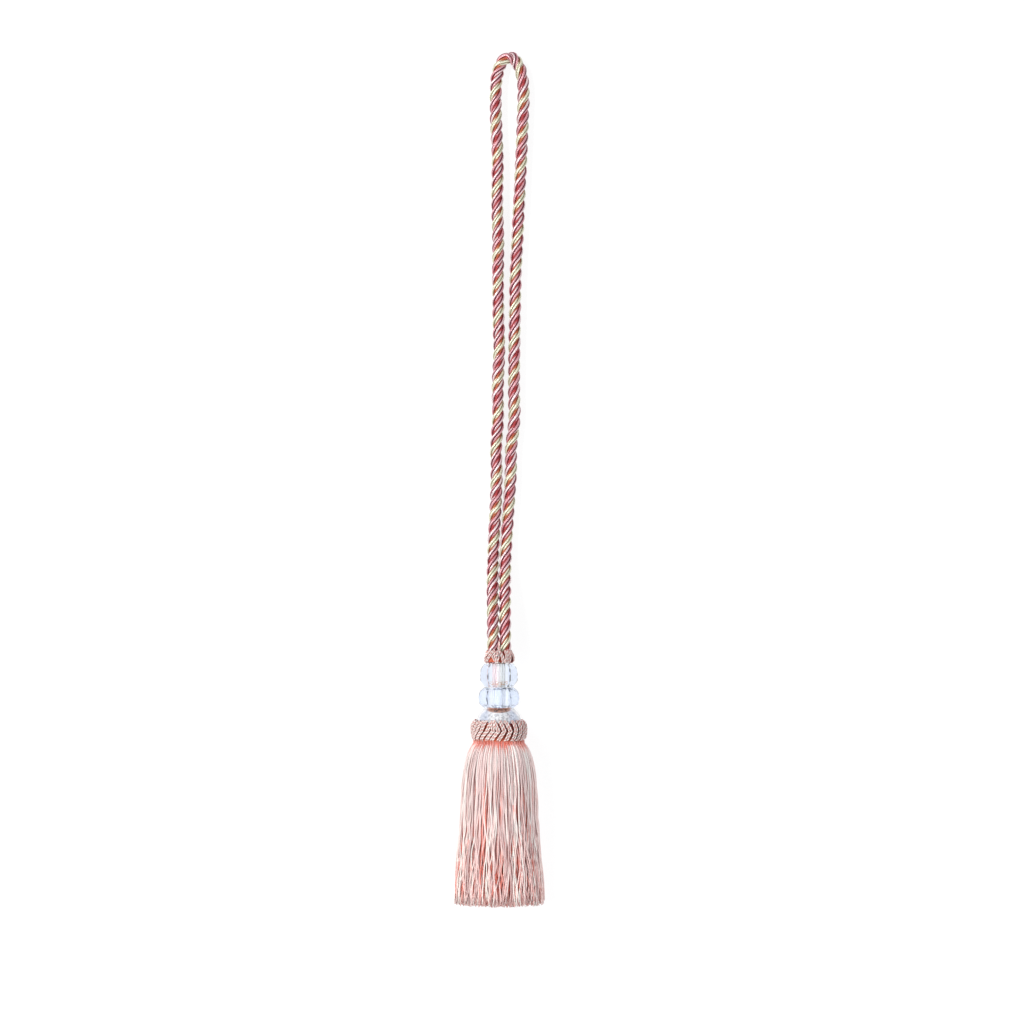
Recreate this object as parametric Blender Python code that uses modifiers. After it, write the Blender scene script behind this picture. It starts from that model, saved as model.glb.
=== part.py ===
"""Curtain tieback tassel, lying on its back.

A three-ply twisted cord is folded into a long loop. Its two ends go through a small looped ruff into a
thread-wound core, which carries two clear cut beads and a clear bell. Under the bell a thick collar of
thread loops goes round the bound head of a skirt of cut threads.

Metres, +Z up. +Y runs up the tassel to the top of the loop, and +X is to the right seen from above. The
origin is on the surface, under the middle of the collar's flat.
"""

import math
import random

import bmesh
import bpy
import numpy as np
from mathutils import Vector
from mathutils.geometry import interpolate_bezier

# The whole object
COLLECTION_NAME = "curtain_tieback_tassel"
AXIS_HEIGHT = 0.0180  # the tassel's middle line above the surface
GAP = 0.0003  # between pieces that touch

# Twisted cord
CORD_RADIUS = 0.00405  # to the crest of a ply
CORD_GROOVE_RADIUS = 0.0030  # to the bottom of the groove between two plies
CORD_PLIES = 3
CORD_LAY = 0.0215  # the length of one whole turn of the twist
CORD_STEPS_PER_LAY = 7
CORD_PLY_HALF_ANGLE = math.radians(26.0)  # half of a ply's rounded crown, about the cord's middle line
CORD_SPAN_STEPS = 10  # points read from each span of the route
WELD_DISTANCE = 0.000001

# The cord's middle line: from its left end in the neck, round the top of the loop, to its right end.
CORD_ROUTE = (
    # x, y, z
    (-0.00425, 0.0460, 0.0180),
    (-0.00425, 0.0570, 0.0180),
    (-0.00432, 0.0678, 0.0174),
    (-0.00450, 0.0785, 0.0158),
    (-0.00470, 0.0895, 0.0127),
    (-0.00455, 0.1020, 0.0088),
    (-0.00430, 0.1155, 0.0056),
    (-0.00365, 0.1320, 0.0042),
    (-0.00210, 0.1560, 0.0040),
    (-0.00150, 0.1763, 0.0040),
    (-0.00200, 0.1898, 0.0040),
    (-0.00080, 0.2102, 0.0040),
    (-0.00100, 0.2305, 0.0040),
    (0.00020, 0.2576, 0.0040),
    (-0.00030, 0.2780, 0.0040),
    (-0.00090, 0.3051, 0.0040),
    (-0.00050, 0.3322, 0.0040),
    (-0.00120, 0.3593, 0.0040),
    (-0.00100, 0.3865, 0.0040),
    (-0.00205, 0.4136, 0.0040),
    (-0.00205, 0.4339, 0.0040),
    (-0.00110, 0.4448, 0.0040),
    (0.00170, 0.4522, 0.0040),
    (0.00680, 0.4557, 0.0040),
    (0.01170, 0.4530, 0.0040),
    (0.01520, 0.4448, 0.0040),
    (0.01660, 0.4339, 0.0040),
    (0.01610, 0.4136, 0.0040),
    (0.01490, 0.3865, 0.0040),
    (0.01360, 0.3593, 0.0040),
    (0.01240, 0.3322, 0.0040),
    (0.01120, 0.3051, 0.0040),
    (0.01080, 0.2780, 0.0040),
    (0.01050, 0.2576, 0.0040),
    (0.01020, 0.2305, 0.0040),
    (0.01040, 0.2102, 0.0040),
    (0.00810, 0.1898, 0.0040),
    (0.00800, 0.1763, 0.0040),
    (0.00680, 0.1560, 0.0040),
    (0.00515, 0.1320, 0.0042),
    (0.00440, 0.1155, 0.0056),
    (0.00415, 0.1020, 0.0088),
    (0.00405, 0.0895, 0.0127),
    (0.00410, 0.0785, 0.0158),
    (0.00418, 0.0678, 0.0174),
    (0.00425, 0.0570, 0.0180),
    (0.00425, 0.0460, 0.0180),
)

# Small ruff round the two cord ends. Its hole is a slot with round ends, its outside an oval.
RUFF_MIDDLE = 0.04995  # along the tassel
RUFF_HALF_HEIGHT = 0.00465
RUFF_HALF_WIDTH = 0.0099
RUFF_HALF_DEPTH = 0.0078
RUFF_SLOT_RADIUS = CORD_RADIUS + GAP + 0.0001
RUFF_SLOT_HALF_LENGTH = 0.00425  # between the middle and a round end's centre
RUFF_LOOPS = 16
RUFF_LOOP_DEPTH = 0.0008
RUFF_LEAN = 0.5  # how far a loop leans from its middle to its top, in loop widths
RUFF_SECTION = (
    # along, outwards, loop: shares of the half height, the wall's thickness and the loop's depth
    (0.00, 1.00, 1.0),
    (0.50, 0.95, 1.0),
    (0.90, 0.66, 0.7),
    (1.00, 0.30, 0.2),
    (0.88, 0.00, 0.0),
    (-0.88, 0.00, 0.0),
    (-1.00, 0.45, 0.2),
    (-0.90, 0.80, 0.7),
    (-0.50, 0.98, 1.0),
)

# Cut beads: a square section with its four corners cut off, stacked in tiers
BEAD_FACE_SHARE = 0.60  # a wide face's width, as a share of the bead's
BORE_RADIUS = 0.0043
BORE_SIDES = 24
UPPER_BEAD_TIERS = (
    # along, half width
    (0.0450, 0.0099),
    (0.0416, 0.0122),
    (0.0376, 0.0126),
    (0.0338, 0.0125),
    (0.0296, 0.0096),
)
SECOND_BEAD_TIERS = (
    # along, half width
    (0.0292, 0.0098),
    (0.0266, 0.0128),
    (0.0226, 0.0138),
    (0.0182, 0.0130),
    (0.0153, 0.0099),
)

# Cut bell: rings of corners, each turned half a step from the last, so that its facets are triangles
BELL_SIDES = 12
BELL_RINGS = (
    # along, radius
    (0.0149, 0.0101),
    (0.0129, 0.0122),
    (0.0106, 0.0139),
    (0.0086, 0.0150),
    (0.0058, 0.0155),
)
BELL_RECESS_RADIUS = 0.0081
BELL_RECESS_FLOOR = 0.0120  # along

# Wound core, turned about the tassel's middle line
CORE_PROFILE = (
    # along, radius
    (0.0456, 0.0000),
    (0.0456, 0.0037),
    (0.0153, 0.0039),
    (0.0148, 0.0070),
    (0.0140, 0.0077),
    (0.0128, 0.0077),
    (0.0123, 0.0070),
    (0.0120, 0.0039),
    (0.0059, 0.0039),
    (0.0059, 0.0000),
)
CORE_STEPS = 24

# Collar of doubled thread loops
COLLAR_LOOPS = 30
COLLAR_LOOP_DEPTH = 0.0008
COLLAR_LEAN = 0.55  # how far a loop leans from its middle to its top, in loop widths
COLLAR_SECTION = (
    # along, radius, share of the loop's depth, share of the lean
    (0.0000, 0.0192, 1.0, 0.0),
    (0.0034, 0.0189, 1.0, 0.6),
    (0.0060, 0.0180, 0.9, 1.0),
    (0.0070, 0.0167, 0.3, 1.1),
    (0.0063, 0.0160, 0.0, 1.1),
    (-0.0064, 0.0156, 0.0, -1.1),
    (-0.0070, 0.0172, 0.3, -1.1),
    (-0.0060, 0.0184, 0.9, -1.0),
    (-0.0034, 0.0191, 1.0, -0.6),
)
LOOP_COLUMNS = (
    # place across the loop's width, share of the depth below the loop's crown
    (-0.27, 0.0),
    (0.27, 0.0),
    (0.50, 1.0),
)

# Skirt: the bound head, turned about the middle line, and its locks of thread
HEAD_PROFILE = (
    # along, radius
    (0.0054, 0.0000),
    (0.0054, 0.0152),
    (-0.0074, 0.0152),
    (-0.0074, 0.0174),
    (-0.0080, 0.0177),
    (-0.0093, 0.0177),
    (-0.0093, 0.0000),
)
HEAD_STEPS = 48
SKIRT_TOP = -0.0093  # along
SKIRT_ROOT_RADIUS = 0.0172
SKIRT_FULLNESS = 2.5  # 2 would make the settled skirt's top an ellipse, and more makes it squarer
SKIRT_EDGE_START = 0.6  # past this share of the half width the skirt's underside rises
SKIRT_EDGE_LIFT = 0.0035
SKIRT_STATIONS = (
    # down the skirt, half width, height of its top, share settled from round to flat underneath
    (-0.0010, 0.0172, 0.0352, 0.00),
    (0.0020, 0.0196, 0.0364, 0.15),
    (0.0085, 0.0224, 0.0380, 0.50),
    (0.0250, 0.0250, 0.0380, 0.90),
    (0.0620, 0.0270, 0.0340, 1.00),
    (0.1107, 0.0306, 0.0270, 1.00),
)
LOCK_RINGS = (
    # inner and outer edge as shares of the skirt's radius, number of locks
    (0.87, 1.00, 44),
    (0.68, 0.85, 30),
    (0.44, 0.66, 18),
    (0.08, 0.42, 8),
)
LOCK_WIDTH_SHARE = 0.80  # of its place in the ring, at the root
LOCK_TIP_SHARE = 0.80  # of its width at the root
LOCK_WANDER = 0.09  # sideways at the tip, in widths of its place
TIP_UNEVENNESS = 0.0022
TIP_SHORTER_BELOW = 0.0040  # locks on the surface end this much before those on top
SEED = 11


def clear_scene():
    for obj in list(bpy.data.objects):
        bpy.data.objects.remove(obj, do_unlink=True)


def new_collection(name):
    collection = bpy.data.collections.new(name)
    bpy.context.scene.collection.children.link(collection)
    return collection


def material(name, color, roughness, metallic=0.0, transmission=0.0):
    made = bpy.data.materials.new(name)
    made.use_nodes = True
    made.diffuse_color = (*color, 1.0)
    shader = made.node_tree.nodes["Principled BSDF"]
    shader.inputs["Base Color"].default_value = (*color, 1.0)
    shader.inputs["Roughness"].default_value = roughness
    shader.inputs["Metallic"].default_value = metallic
    shader.inputs["Transmission Weight"].default_value = transmission
    return made


def add_object(name, data, collection, finish=None):
    obj = bpy.data.objects.new(name, data)
    collection.objects.link(obj)
    if finish:
        data.materials.append(finish)
    return obj


def add_cutter(name, data, cutters):
    """A helper that other shapes are cut by or joined to, which is never rendered."""
    obj = add_object(name, data, cutters)
    obj.hide_render = True
    obj.display_type = "WIRE"
    return obj


def mesh_from(bm, name):
    bmesh.ops.recalc_face_normals(bm, faces=bm.faces)
    mesh = bpy.data.meshes.new(name)
    bm.to_mesh(mesh)
    bm.free()
    return mesh


def shade_round(mesh, sharp_degrees=40.0):
    mesh.shade_smooth()
    mesh.set_sharp_from_angle(angle=math.radians(sharp_degrees))


def on_axis(across, along, up):
    """A point given from the tassel's middle line."""
    return Vector((across, along, AXIS_HEIGHT + up))


def smooth_line(route, steps):
    """Points along a smooth curve through the route, each span a Bezier that leaves along its neighbours."""
    points = [Vector(point) for point in route]
    last = len(points) - 1
    line = [points[0]]
    for i in range(last):
        start = points[i]
        end = points[i + 1]
        reach = (end - start).length / 3
        leave = (end - points[max(i - 1, 0)]).normalized() * reach
        arrive = (points[min(i + 2, last)] - start).normalized() * reach
        line += interpolate_bezier(start, start + leave, end - arrive, end, steps + 1)[1:]
    return line


def evenly_spaced(line, spacing):
    """Points about this far apart along a line of points, and their distances from its start."""
    points = np.array([tuple(point) for point in line])
    along = np.concatenate([[0.0], np.cumsum(np.linalg.norm(np.diff(points, axis=0), axis=1))])
    distances = np.linspace(0.0, along[-1], round(along[-1] / spacing) + 1)
    spaced = np.stack([np.interp(distances, along, points[:, k]) for k in range(3)], axis=1)
    return spaced, distances


def welded_mesh(curve_object):
    """The curve's surface as one closed mesh, its caps joined to its side. The curve object is removed."""
    graph = bpy.context.evaluated_depsgraph_get()
    bm = bmesh.new()
    bm.from_mesh(bpy.data.meshes.new_from_object(curve_object.evaluated_get(graph)))
    bmesh.ops.remove_doubles(bm, verts=bm.verts, dist=WELD_DISTANCE)
    bpy.data.objects.remove(curve_object, do_unlink=True)
    return mesh_from(bm, "tie_cord")


def cord_section(cutters):
    """The cord's section: for each ply two points on its crown, and one in the groove after it."""
    curve = bpy.data.curves.new("cord_section", "CURVE")
    spline = curve.splines.new("POLY")
    corners = []
    for ply in range(CORD_PLIES):
        middle = 2 * math.pi * ply / CORD_PLIES
        corners.append((CORD_RADIUS, middle - CORD_PLY_HALF_ANGLE))
        corners.append((CORD_RADIUS, middle + CORD_PLY_HALF_ANGLE))
        corners.append((CORD_GROOVE_RADIUS, middle + math.pi / CORD_PLIES))
    spline.points.add(len(corners) - 1)
    for point, (radius, angle) in zip(spline.points, corners):
        point.co = (radius * math.cos(angle), radius * math.sin(angle), 0.0, 1.0)
    spline.use_cyclic_u = True
    return add_cutter("cord_section", curve, cutters)


def build_cord(parts, cutters):
    """One twisted cord: the section is swept along the route and turns with the lay."""
    spaced, distances = evenly_spaced(
        smooth_line(CORD_ROUTE, CORD_SPAN_STEPS), CORD_LAY / CORD_STEPS_PER_LAY
    )
    curve = bpy.data.curves.new("tie_cord", "CURVE")
    curve.dimensions = "3D"
    curve.twist_mode = "MINIMUM"
    curve.bevel_mode = "OBJECT"
    curve.bevel_object = cord_section(cutters)
    curve.use_fill_caps = True
    spline = curve.splines.new("POLY")
    spline.points.add(len(spaced) - 1)
    for point, (x, y, z), distance in zip(spline.points, spaced, distances):
        point.co = (x, y, max(z, CORD_RADIUS), 1.0)
        point.tilt = 2 * math.pi * distance / CORD_LAY
    mesh = welded_mesh(add_object("cord_curve", curve, parts))
    add_object("tie_cord", mesh, parts, material("rose_cream_cord", (0.56, 0.27, 0.26), 0.55))


def slot_radius(angle):
    """How far the slot's edge is from its middle in this direction."""
    across = abs(math.cos(angle))
    up = abs(math.sin(angle))
    if up > 0 and RUFF_SLOT_RADIUS / up * across <= RUFF_SLOT_HALF_LENGTH:
        return RUFF_SLOT_RADIUS / up
    end = RUFF_SLOT_HALF_LENGTH
    return end * across + math.sqrt(RUFF_SLOT_RADIUS**2 - (end * up) ** 2)


def oval_radius(angle):
    deep = RUFF_HALF_DEPTH * math.cos(angle)
    wide = RUFF_HALF_WIDTH * math.sin(angle)
    return RUFF_HALF_WIDTH * RUFF_HALF_DEPTH / math.hypot(deep, wide)


def looped_ring(name, loops, section, place, parts, finish):
    """A ring of raised thread loops: a torus whose points are moved to place(row, angle, depth)."""
    rows = len(section)
    bpy.ops.mesh.primitive_torus_add(
        major_segments=loops * len(LOOP_COLUMNS), minor_segments=rows, major_radius=0.02, minor_radius=0.005
    )
    obj = bpy.context.object
    obj.name = name
    obj.data.name = name
    pitch = 2 * math.pi / loops
    for index, vertex in enumerate(obj.data.vertices):
        column, row = divmod(index, rows)
        loop, part = divmod(column, len(LOOP_COLUMNS))
        across, depth = LOOP_COLUMNS[part]
        vertex.co = place(section[row], pitch * (loop + 0.5 + across), pitch, depth)
    obj.data.materials.append(finish)
    shade_round(obj.data, 60.0)
    for holder in list(obj.users_collection):
        holder.objects.unlink(obj)
    parts.objects.link(obj)


def place_in_ruff(row, angle, pitch, depth):
    along, outwards, loop = row
    angle += pitch * RUFF_LEAN * along
    inside = slot_radius(angle)
    radius = inside + (oval_radius(angle) - inside) * outwards - RUFF_LOOP_DEPTH * loop * depth
    return on_axis(
        radius * math.cos(angle), RUFF_MIDDLE + RUFF_HALF_HEIGHT * along, -radius * math.sin(angle)
    )


def place_in_collar(row, angle, pitch, depth):
    along, crown, loop, lean = row
    angle += pitch * COLLAR_LEAN * lean
    radius = crown - COLLAR_LOOP_DEPTH * loop * depth
    up = max(-radius * math.sin(angle), -AXIS_HEIGHT)  # flat where it lies on the surface
    return on_axis(radius * math.cos(angle), along, up)


def build_ruffs(parts):
    finish = material("blush_ruff_thread", (0.62, 0.40, 0.37), 0.6)
    looped_ring("top_ruff", RUFF_LOOPS, RUFF_SECTION, place_in_ruff, parts, finish)
    finish = material("blush_collar_thread", (0.60, 0.37, 0.34), 0.6)
    looped_ring("collar_ruff", COLLAR_LOOPS, COLLAR_SECTION, place_in_collar, parts, finish)


def cylinder_cutter(name, radius, start, end, cutters):
    """A round cutter along the tassel's middle line."""
    bm = bmesh.new()
    bmesh.ops.create_cone(
        bm, cap_ends=True, segments=BORE_SIDES, radius1=radius, radius2=radius, depth=abs(end - start)
    )
    obj = add_cutter(name, mesh_from(bm, name), cutters)
    obj.rotation_euler.x = -math.pi / 2
    obj.location = on_axis(0.0, (start + end) / 2, 0.0)
    return obj


def cut_away(obj, cutter):
    cut = obj.modifiers.new(f"cut_{cutter.name}", "BOOLEAN")
    cut.operation = "DIFFERENCE"
    cut.solver = "EXACT"
    cut.object = cutter


def cut_stone(name, corners, parts):
    """A clear piece whose facets are the flat faces between its corners."""
    bm = bmesh.new()
    for corner in corners:
        bm.verts.new(corner)
    bmesh.ops.convex_hull(bm, input=bm.verts)
    flat_within = math.radians(0.5)
    bmesh.ops.dissolve_limit(bm, angle_limit=flat_within, verts=bm.verts, edges=bm.edges)
    finish = material(f"{name}_clear", (0.86, 0.88, 0.95), 0.03, transmission=1.0)
    return add_object(name, mesh_from(bm, name), parts, finish)


def bead_corners(tiers):
    corners = []
    for along, half in tiers:
        cut = half * BEAD_FACE_SHARE
        for across, up in ((half, cut), (cut, half)):
            for side in (-1, 1):
                for height in (-1, 1):
                    corners.append(on_axis(side * across, along, height * up))
    return corners


def bell_corners():
    corners = []
    step = 2 * math.pi / BELL_SIDES
    for ring, (along, radius) in enumerate(BELL_RINGS):
        for side in range(BELL_SIDES):
            angle = step * (side + ring / 2)
            corners.append(on_axis(radius * math.cos(angle), along, radius * math.sin(angle)))
    return corners


def build_stones(parts, cutters):
    bore = cylinder_cutter("bore", BORE_RADIUS, 0.0, 0.05, cutters)
    recess = cylinder_cutter("bell_recess", BELL_RECESS_RADIUS, BELL_RECESS_FLOOR, 0.02, cutters)
    cut_away(cut_stone("upper_bead", bead_corners(UPPER_BEAD_TIERS), parts), bore)
    cut_away(cut_stone("second_bead", bead_corners(SECOND_BEAD_TIERS), parts), bore)
    bell = cut_stone("bell_bead", bell_corners(), parts)
    cut_away(bell, bore)
    cut_away(bell, recess)


def turned(name, profile, steps, parts, finish):
    """A profile turned about the tassel's middle line."""
    bm = bmesh.new()
    corners = [bm.verts.new((radius, along, 0.0)) for along, radius in profile]
    for start, end in zip(corners, corners[1:]):
        bm.edges.new((start, end))
    mesh = bpy.data.meshes.new(name)
    bm.to_mesh(mesh)
    bm.free()
    obj = add_object(name, mesh, parts, finish)
    obj.location = on_axis(0.0, 0.0, 0.0)
    screw = obj.modifiers.new("turn", "SCREW")
    screw.axis = "Y"
    screw.steps = steps
    screw.render_steps = steps
    screw.use_merge_vertices = True
    screw.merge_threshold = 0.00005
    return obj


def station_at(down):
    """The skirt's half width, top height and settled share this far down it."""
    table = np.array(SKIRT_STATIONS)
    return [float(np.interp(down, table[:, 0], column)) for column in table[:, 1:].T]


def skirt_point(u, v, down):
    """Where a point of the round root (u across, v up, within a circle of radius 1) lies further down."""
    half_width, top, settled = station_at(down)
    rim = math.sqrt(max(0.0, 1.0 - u * u))
    crown = math.sqrt(max(0.0, 1.0 - abs(u) ** SKIRT_FULLNESS))
    edge = max(0.0, abs(u) - SKIRT_EDGE_START) / (1.0 - SKIRT_EDGE_START)
    round_bottom = AXIS_HEIGHT - SKIRT_ROOT_RADIUS * rim
    flat_bottom = SKIRT_EDGE_LIFT * edge * edge
    round_top = AXIS_HEIGHT + (top - AXIS_HEIGHT) * rim
    flat_top = flat_bottom + (top - flat_bottom) * crown
    bottom = round_bottom + (flat_bottom - round_bottom) * settled
    height = round_top + (flat_top - round_top) * settled - bottom
    rise = 0.5 if rim == 0.0 else (v / rim + 1.0) / 2.0
    return Vector((half_width * u, SKIRT_TOP - down, bottom + height * min(max(rise, 0.0), 1.0)))


def add_lock(bm, inner, outer, angle, pitch, chance):
    """One lock of four sides: its root's corners, followed from station to station to its cut tip."""
    wander = chance.uniform(-1.0, 1.0) * LOCK_WANDER * pitch
    height = (math.sin(angle) * outer + 1.0) / 2
    length = SKIRT_STATIONS[-1][0] - chance.random() * TIP_UNEVENNESS - (1.0 - height) * TIP_SHORTER_BELOW
    rings = []
    for down in [station[0] for station in SKIRT_STATIONS[:-1]] + [length]:
        share = max(down, 0.0) / length
        middle = angle + wander * share
        half_angle = pitch / 2 * LOCK_WIDTH_SHARE * (1.0 - (1.0 - LOCK_TIP_SHARE) * share)
        ring = []
        for radius, side in ((inner, -1), (outer, -1), (outer, 1), (inner, 1)):
            at = middle + side * half_angle
            ring.append(bm.verts.new(skirt_point(radius * math.cos(at), radius * math.sin(at), down)))
        rings.append(ring)
    bm.faces.new(rings[0])
    bm.faces.new(rings[-1])
    for ring, after in zip(rings, rings[1:]):
        for k in range(4):
            bm.faces.new((ring[k], ring[k - 1], after[k - 1], after[k]))


def build_skirt(parts, cutters):
    """The bound head and its locks, joined at their roots."""
    chance = random.Random(SEED)
    bm = bmesh.new()
    for inner, outer, count in LOCK_RINGS:
        pitch = 2 * math.pi / count
        for lock in range(count):
            # a lock's middle is straight down, so that one rests level along the underside
            angle = pitch * lock - math.pi / 2
            add_lock(bm, inner, outer, angle, pitch, chance)
    locks = add_cutter("skirt_locks", mesh_from(bm, "skirt_locks"), cutters)
    finish = material("blush_skirt_thread", (0.68, 0.47, 0.44), 0.5)
    head = turned("thread_skirt", HEAD_PROFILE, HEAD_STEPS, parts, finish)
    join = head.modifiers.new("join_locks", "BOOLEAN")
    join.operation = "UNION"
    join.solver = "EXACT"
    join.object = locks


def main():
    clear_scene()
    parts = new_collection(COLLECTION_NAME)
    cutters = new_collection("cutters")
    build_cord(parts, cutters)
    build_ruffs(parts)
    build_stones(parts, cutters)
    finish = material("terracotta_core", (0.50, 0.24, 0.18), 0.6)
    turned("bead_core", CORE_PROFILE, CORE_STEPS, parts, finish)
    build_skirt(parts, cutters)


main()
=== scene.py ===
"""Curtain tieback tassel: its threads, cord, clear beads and stage, round the fixed frame of its solids.

Metres, +Z up. +Y runs up the tassel to the top of the cord loop, and +X is to the right seen from above.
"""

import math

import bmesh
import bpy
import numpy as np
from bpy.props import FloatProperty, FloatVectorProperty, IntProperty, PointerProperty
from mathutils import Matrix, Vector
from mathutils.geometry import interpolate_bezier


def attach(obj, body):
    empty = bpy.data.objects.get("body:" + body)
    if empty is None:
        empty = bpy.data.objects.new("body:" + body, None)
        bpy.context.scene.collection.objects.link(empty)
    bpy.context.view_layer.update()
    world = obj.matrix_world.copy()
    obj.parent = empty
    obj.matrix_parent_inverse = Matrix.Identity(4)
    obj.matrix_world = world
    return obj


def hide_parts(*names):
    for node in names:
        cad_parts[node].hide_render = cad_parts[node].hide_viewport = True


bl_info = {
    "name": "Curtain tieback tassel",
    "version": (1, 0, 0),
    "blender": (4, 5, 0),
    "location": "View3D > Sidebar > Tassel",
    "description": "Makes the threads, cord, clear beads and stage of a curtain tieback tassel",
    "category": "Object",
}

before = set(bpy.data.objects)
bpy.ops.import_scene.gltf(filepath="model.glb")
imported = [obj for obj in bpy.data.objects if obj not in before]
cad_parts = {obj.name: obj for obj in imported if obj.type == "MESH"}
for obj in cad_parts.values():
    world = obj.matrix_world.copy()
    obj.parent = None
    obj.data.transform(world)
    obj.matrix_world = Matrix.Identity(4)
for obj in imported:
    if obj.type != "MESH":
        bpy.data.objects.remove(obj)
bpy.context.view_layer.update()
BODY = "root"
AXIS_HEIGHT = 0.0180  # the tassel's middle line above the surface

# The cord's middle line: from its left end in the neck, round the top of the loop, to its right end.
CORD_ROUTE = (
    # x, y, z
    (-0.00425, 0.0460, 0.0180),
    (-0.00410, 0.0570, 0.0180),
    (-0.00410, 0.0678, 0.0174),
    (-0.00410, 0.0785, 0.0158),
    (-0.00415, 0.0895, 0.0127),
    (-0.00415, 0.1020, 0.0088),
    (-0.00405, 0.1155, 0.0056),
    (-0.00355, 0.1320, 0.0042),
    (-0.00210, 0.1560, 0.0040),
    (-0.00150, 0.1763, 0.0040),
    (-0.00200, 0.1898, 0.0040),
    (-0.00080, 0.2102, 0.0040),
    (-0.00100, 0.2305, 0.0040),
    (0.00020, 0.2576, 0.0040),
    (-0.00030, 0.2780, 0.0040),
    (-0.00090, 0.3051, 0.0040),
    (-0.00050, 0.3322, 0.0040),
    (-0.00120, 0.3593, 0.0040),
    (-0.00100, 0.3865, 0.0040),
    (-0.00205, 0.4136, 0.0040),
    (-0.00205, 0.4339, 0.0040),
    (-0.00110, 0.4448, 0.0040),
    (0.00170, 0.4522, 0.0040),
    (0.00680, 0.4557, 0.0040),
    (0.01170, 0.4530, 0.0040),
    (0.01520, 0.4448, 0.0040),
    (0.01660, 0.4339, 0.0040),
    (0.01610, 0.4136, 0.0040),
    (0.01490, 0.3865, 0.0040),
    (0.01360, 0.3593, 0.0040),
    (0.01240, 0.3322, 0.0040),
    (0.01120, 0.3051, 0.0040),
    (0.01080, 0.2780, 0.0040),
    (0.01050, 0.2576, 0.0040),
    (0.01020, 0.2305, 0.0040),
    (0.01040, 0.2102, 0.0040),
    (0.00810, 0.1898, 0.0040),
    (0.00800, 0.1763, 0.0040),
    (0.00680, 0.1560, 0.0040),
    (0.00515, 0.1320, 0.0042),
    (0.00440, 0.1155, 0.0056),
    (0.00415, 0.1020, 0.0088),
    (0.00405, 0.0895, 0.0127),
    (0.00410, 0.0785, 0.0158),
    (0.00418, 0.0678, 0.0174),
    (0.00425, 0.0570, 0.0180),
    (0.00425, 0.0460, 0.0180),
)
CORD_SPAN_STEPS = 10  # points read from each span of the route
YARNS = 4  # twisted together in each ply
YARN_LAY = 0.032  # length in which a ply's yarns turn once round it, beyond their turns with the cord
PLIES = (
    # turns from the cream ply, a yarn's radius, distance from the cord's middle line, 1 for cream
    (0.000, 0.00081, 0.00242, 1.0),
    (0.325, 0.00087, 0.00232, 0.0),
    (0.675, 0.00087, 0.00232, 0.0),
)
GROOVE_SHADE_THREADS = (
    # dark threads set in the grooves as painted shade: turns from the cream ply, radius, distance, 1 beside
    # the cream ply
    (0.165, 0.00105, 0.00180, 1.0),
    (0.500, 0.00105, 0.00180, 0.0),
    (0.835, 0.00105, 0.00180, 1.0),
)
CORD_REACH = 0.0044  # from the cord's middle line to its outermost yarns
GROOVE_PAINTED_SHADE = (0.0026, 0.0030)  # from the middle line: where a groove's painted shade is darkest, and where it ends
CREST_START = (0.0030, 0.0035)  # from the middle line: where the groove's painted shade colour ends and the crest's colour is full
YARN_CREST = (0.60, 0.84)  # share of the way out across a yarn where its crest's colour starts and is full; the side towards its ply's middle gets painted shade
GROOVE_ROUGHNESS = 0.60
CREST_POLISH = 0.32  # how much less rough the crests are
CREAM_ON_TOP = (
    # leg of the loop, along the tassel, turns of the twist since the first
    ("left", 0.0631, 0.0),
    ("left", 0.4339, 17.0),
    ("left", 0.4520, 18.03),
    ("left", 0.4556, 18.22),
    ("right", 0.4495, 19.0),
    ("right", 0.0580, 36.0),
)


def color_setting(name, description, default):
    return FloatVectorProperty(
        name=name, description=description, default=default, subtype="COLOR", min=0.0, max=1.0
    )


def length_setting(name, description, default):
    return FloatProperty(name=name, description=description, default=default, unit="LENGTH")


def power_setting(name, description, default):
    return FloatProperty(name=name, description=description, default=default, unit="POWER")


class CordSettings(bpy.types.PropertyGroup):
    step: FloatProperty(
        name="Step",
        description="Length of one segment of a yarn",
        default=0.0010,
        min=0.0003,
        unit="LENGTH",
    )
    diameter: length_setting("Diameter", "The whole cord's diameter", 0.0081)
    wrap_pitch: length_setting(
        "Wrap pitch", "From one turn of the fine thread wrapped round a yarn to the next", 0.00057
    )
    rose_light: color_setting("Rose", "Two of the four yarns of a rose ply", (0.84, 0.40, 0.44))
    rose_pale: color_setting("Pale rose", "The other two yarns of a rose ply", (1.0, 0.78, 0.79))
    # Painted shade between the rose ply's yarns, on their sides.
    plum_yarn_shade: color_setting("Plum", "Between the yarns of a rose ply", (0.30, 0.075, 0.105))
    # Painted shade with a painted reflection of the plies' red, on the rose plies' sides and the dark thread
    # between them.
    rose_groove_shade: color_setting(
        "Rose, groove", "Sides of the two rose plies, and the thread between them", (0.56, 0.022, 0.030)
    )
    cream_light: color_setting("Cream", "Yarns of the cream ply", (0.96, 0.92, 0.70))
    # Painted shade between the cream ply's yarns, on their sides.
    moss_yarn_shade: color_setting("Moss", "Between the yarns of the cream ply", (0.60, 0.57, 0.40))
    # Painted shade with a painted orange-brown reflection, on the cream ply's sides and the dark threads
    # beside it.
    cream_groove_shade: color_setting(
        "Cream, groove", "Sides of the cream ply, and the threads beside it", (0.64, 0.130, 0.030)
    )


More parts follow.
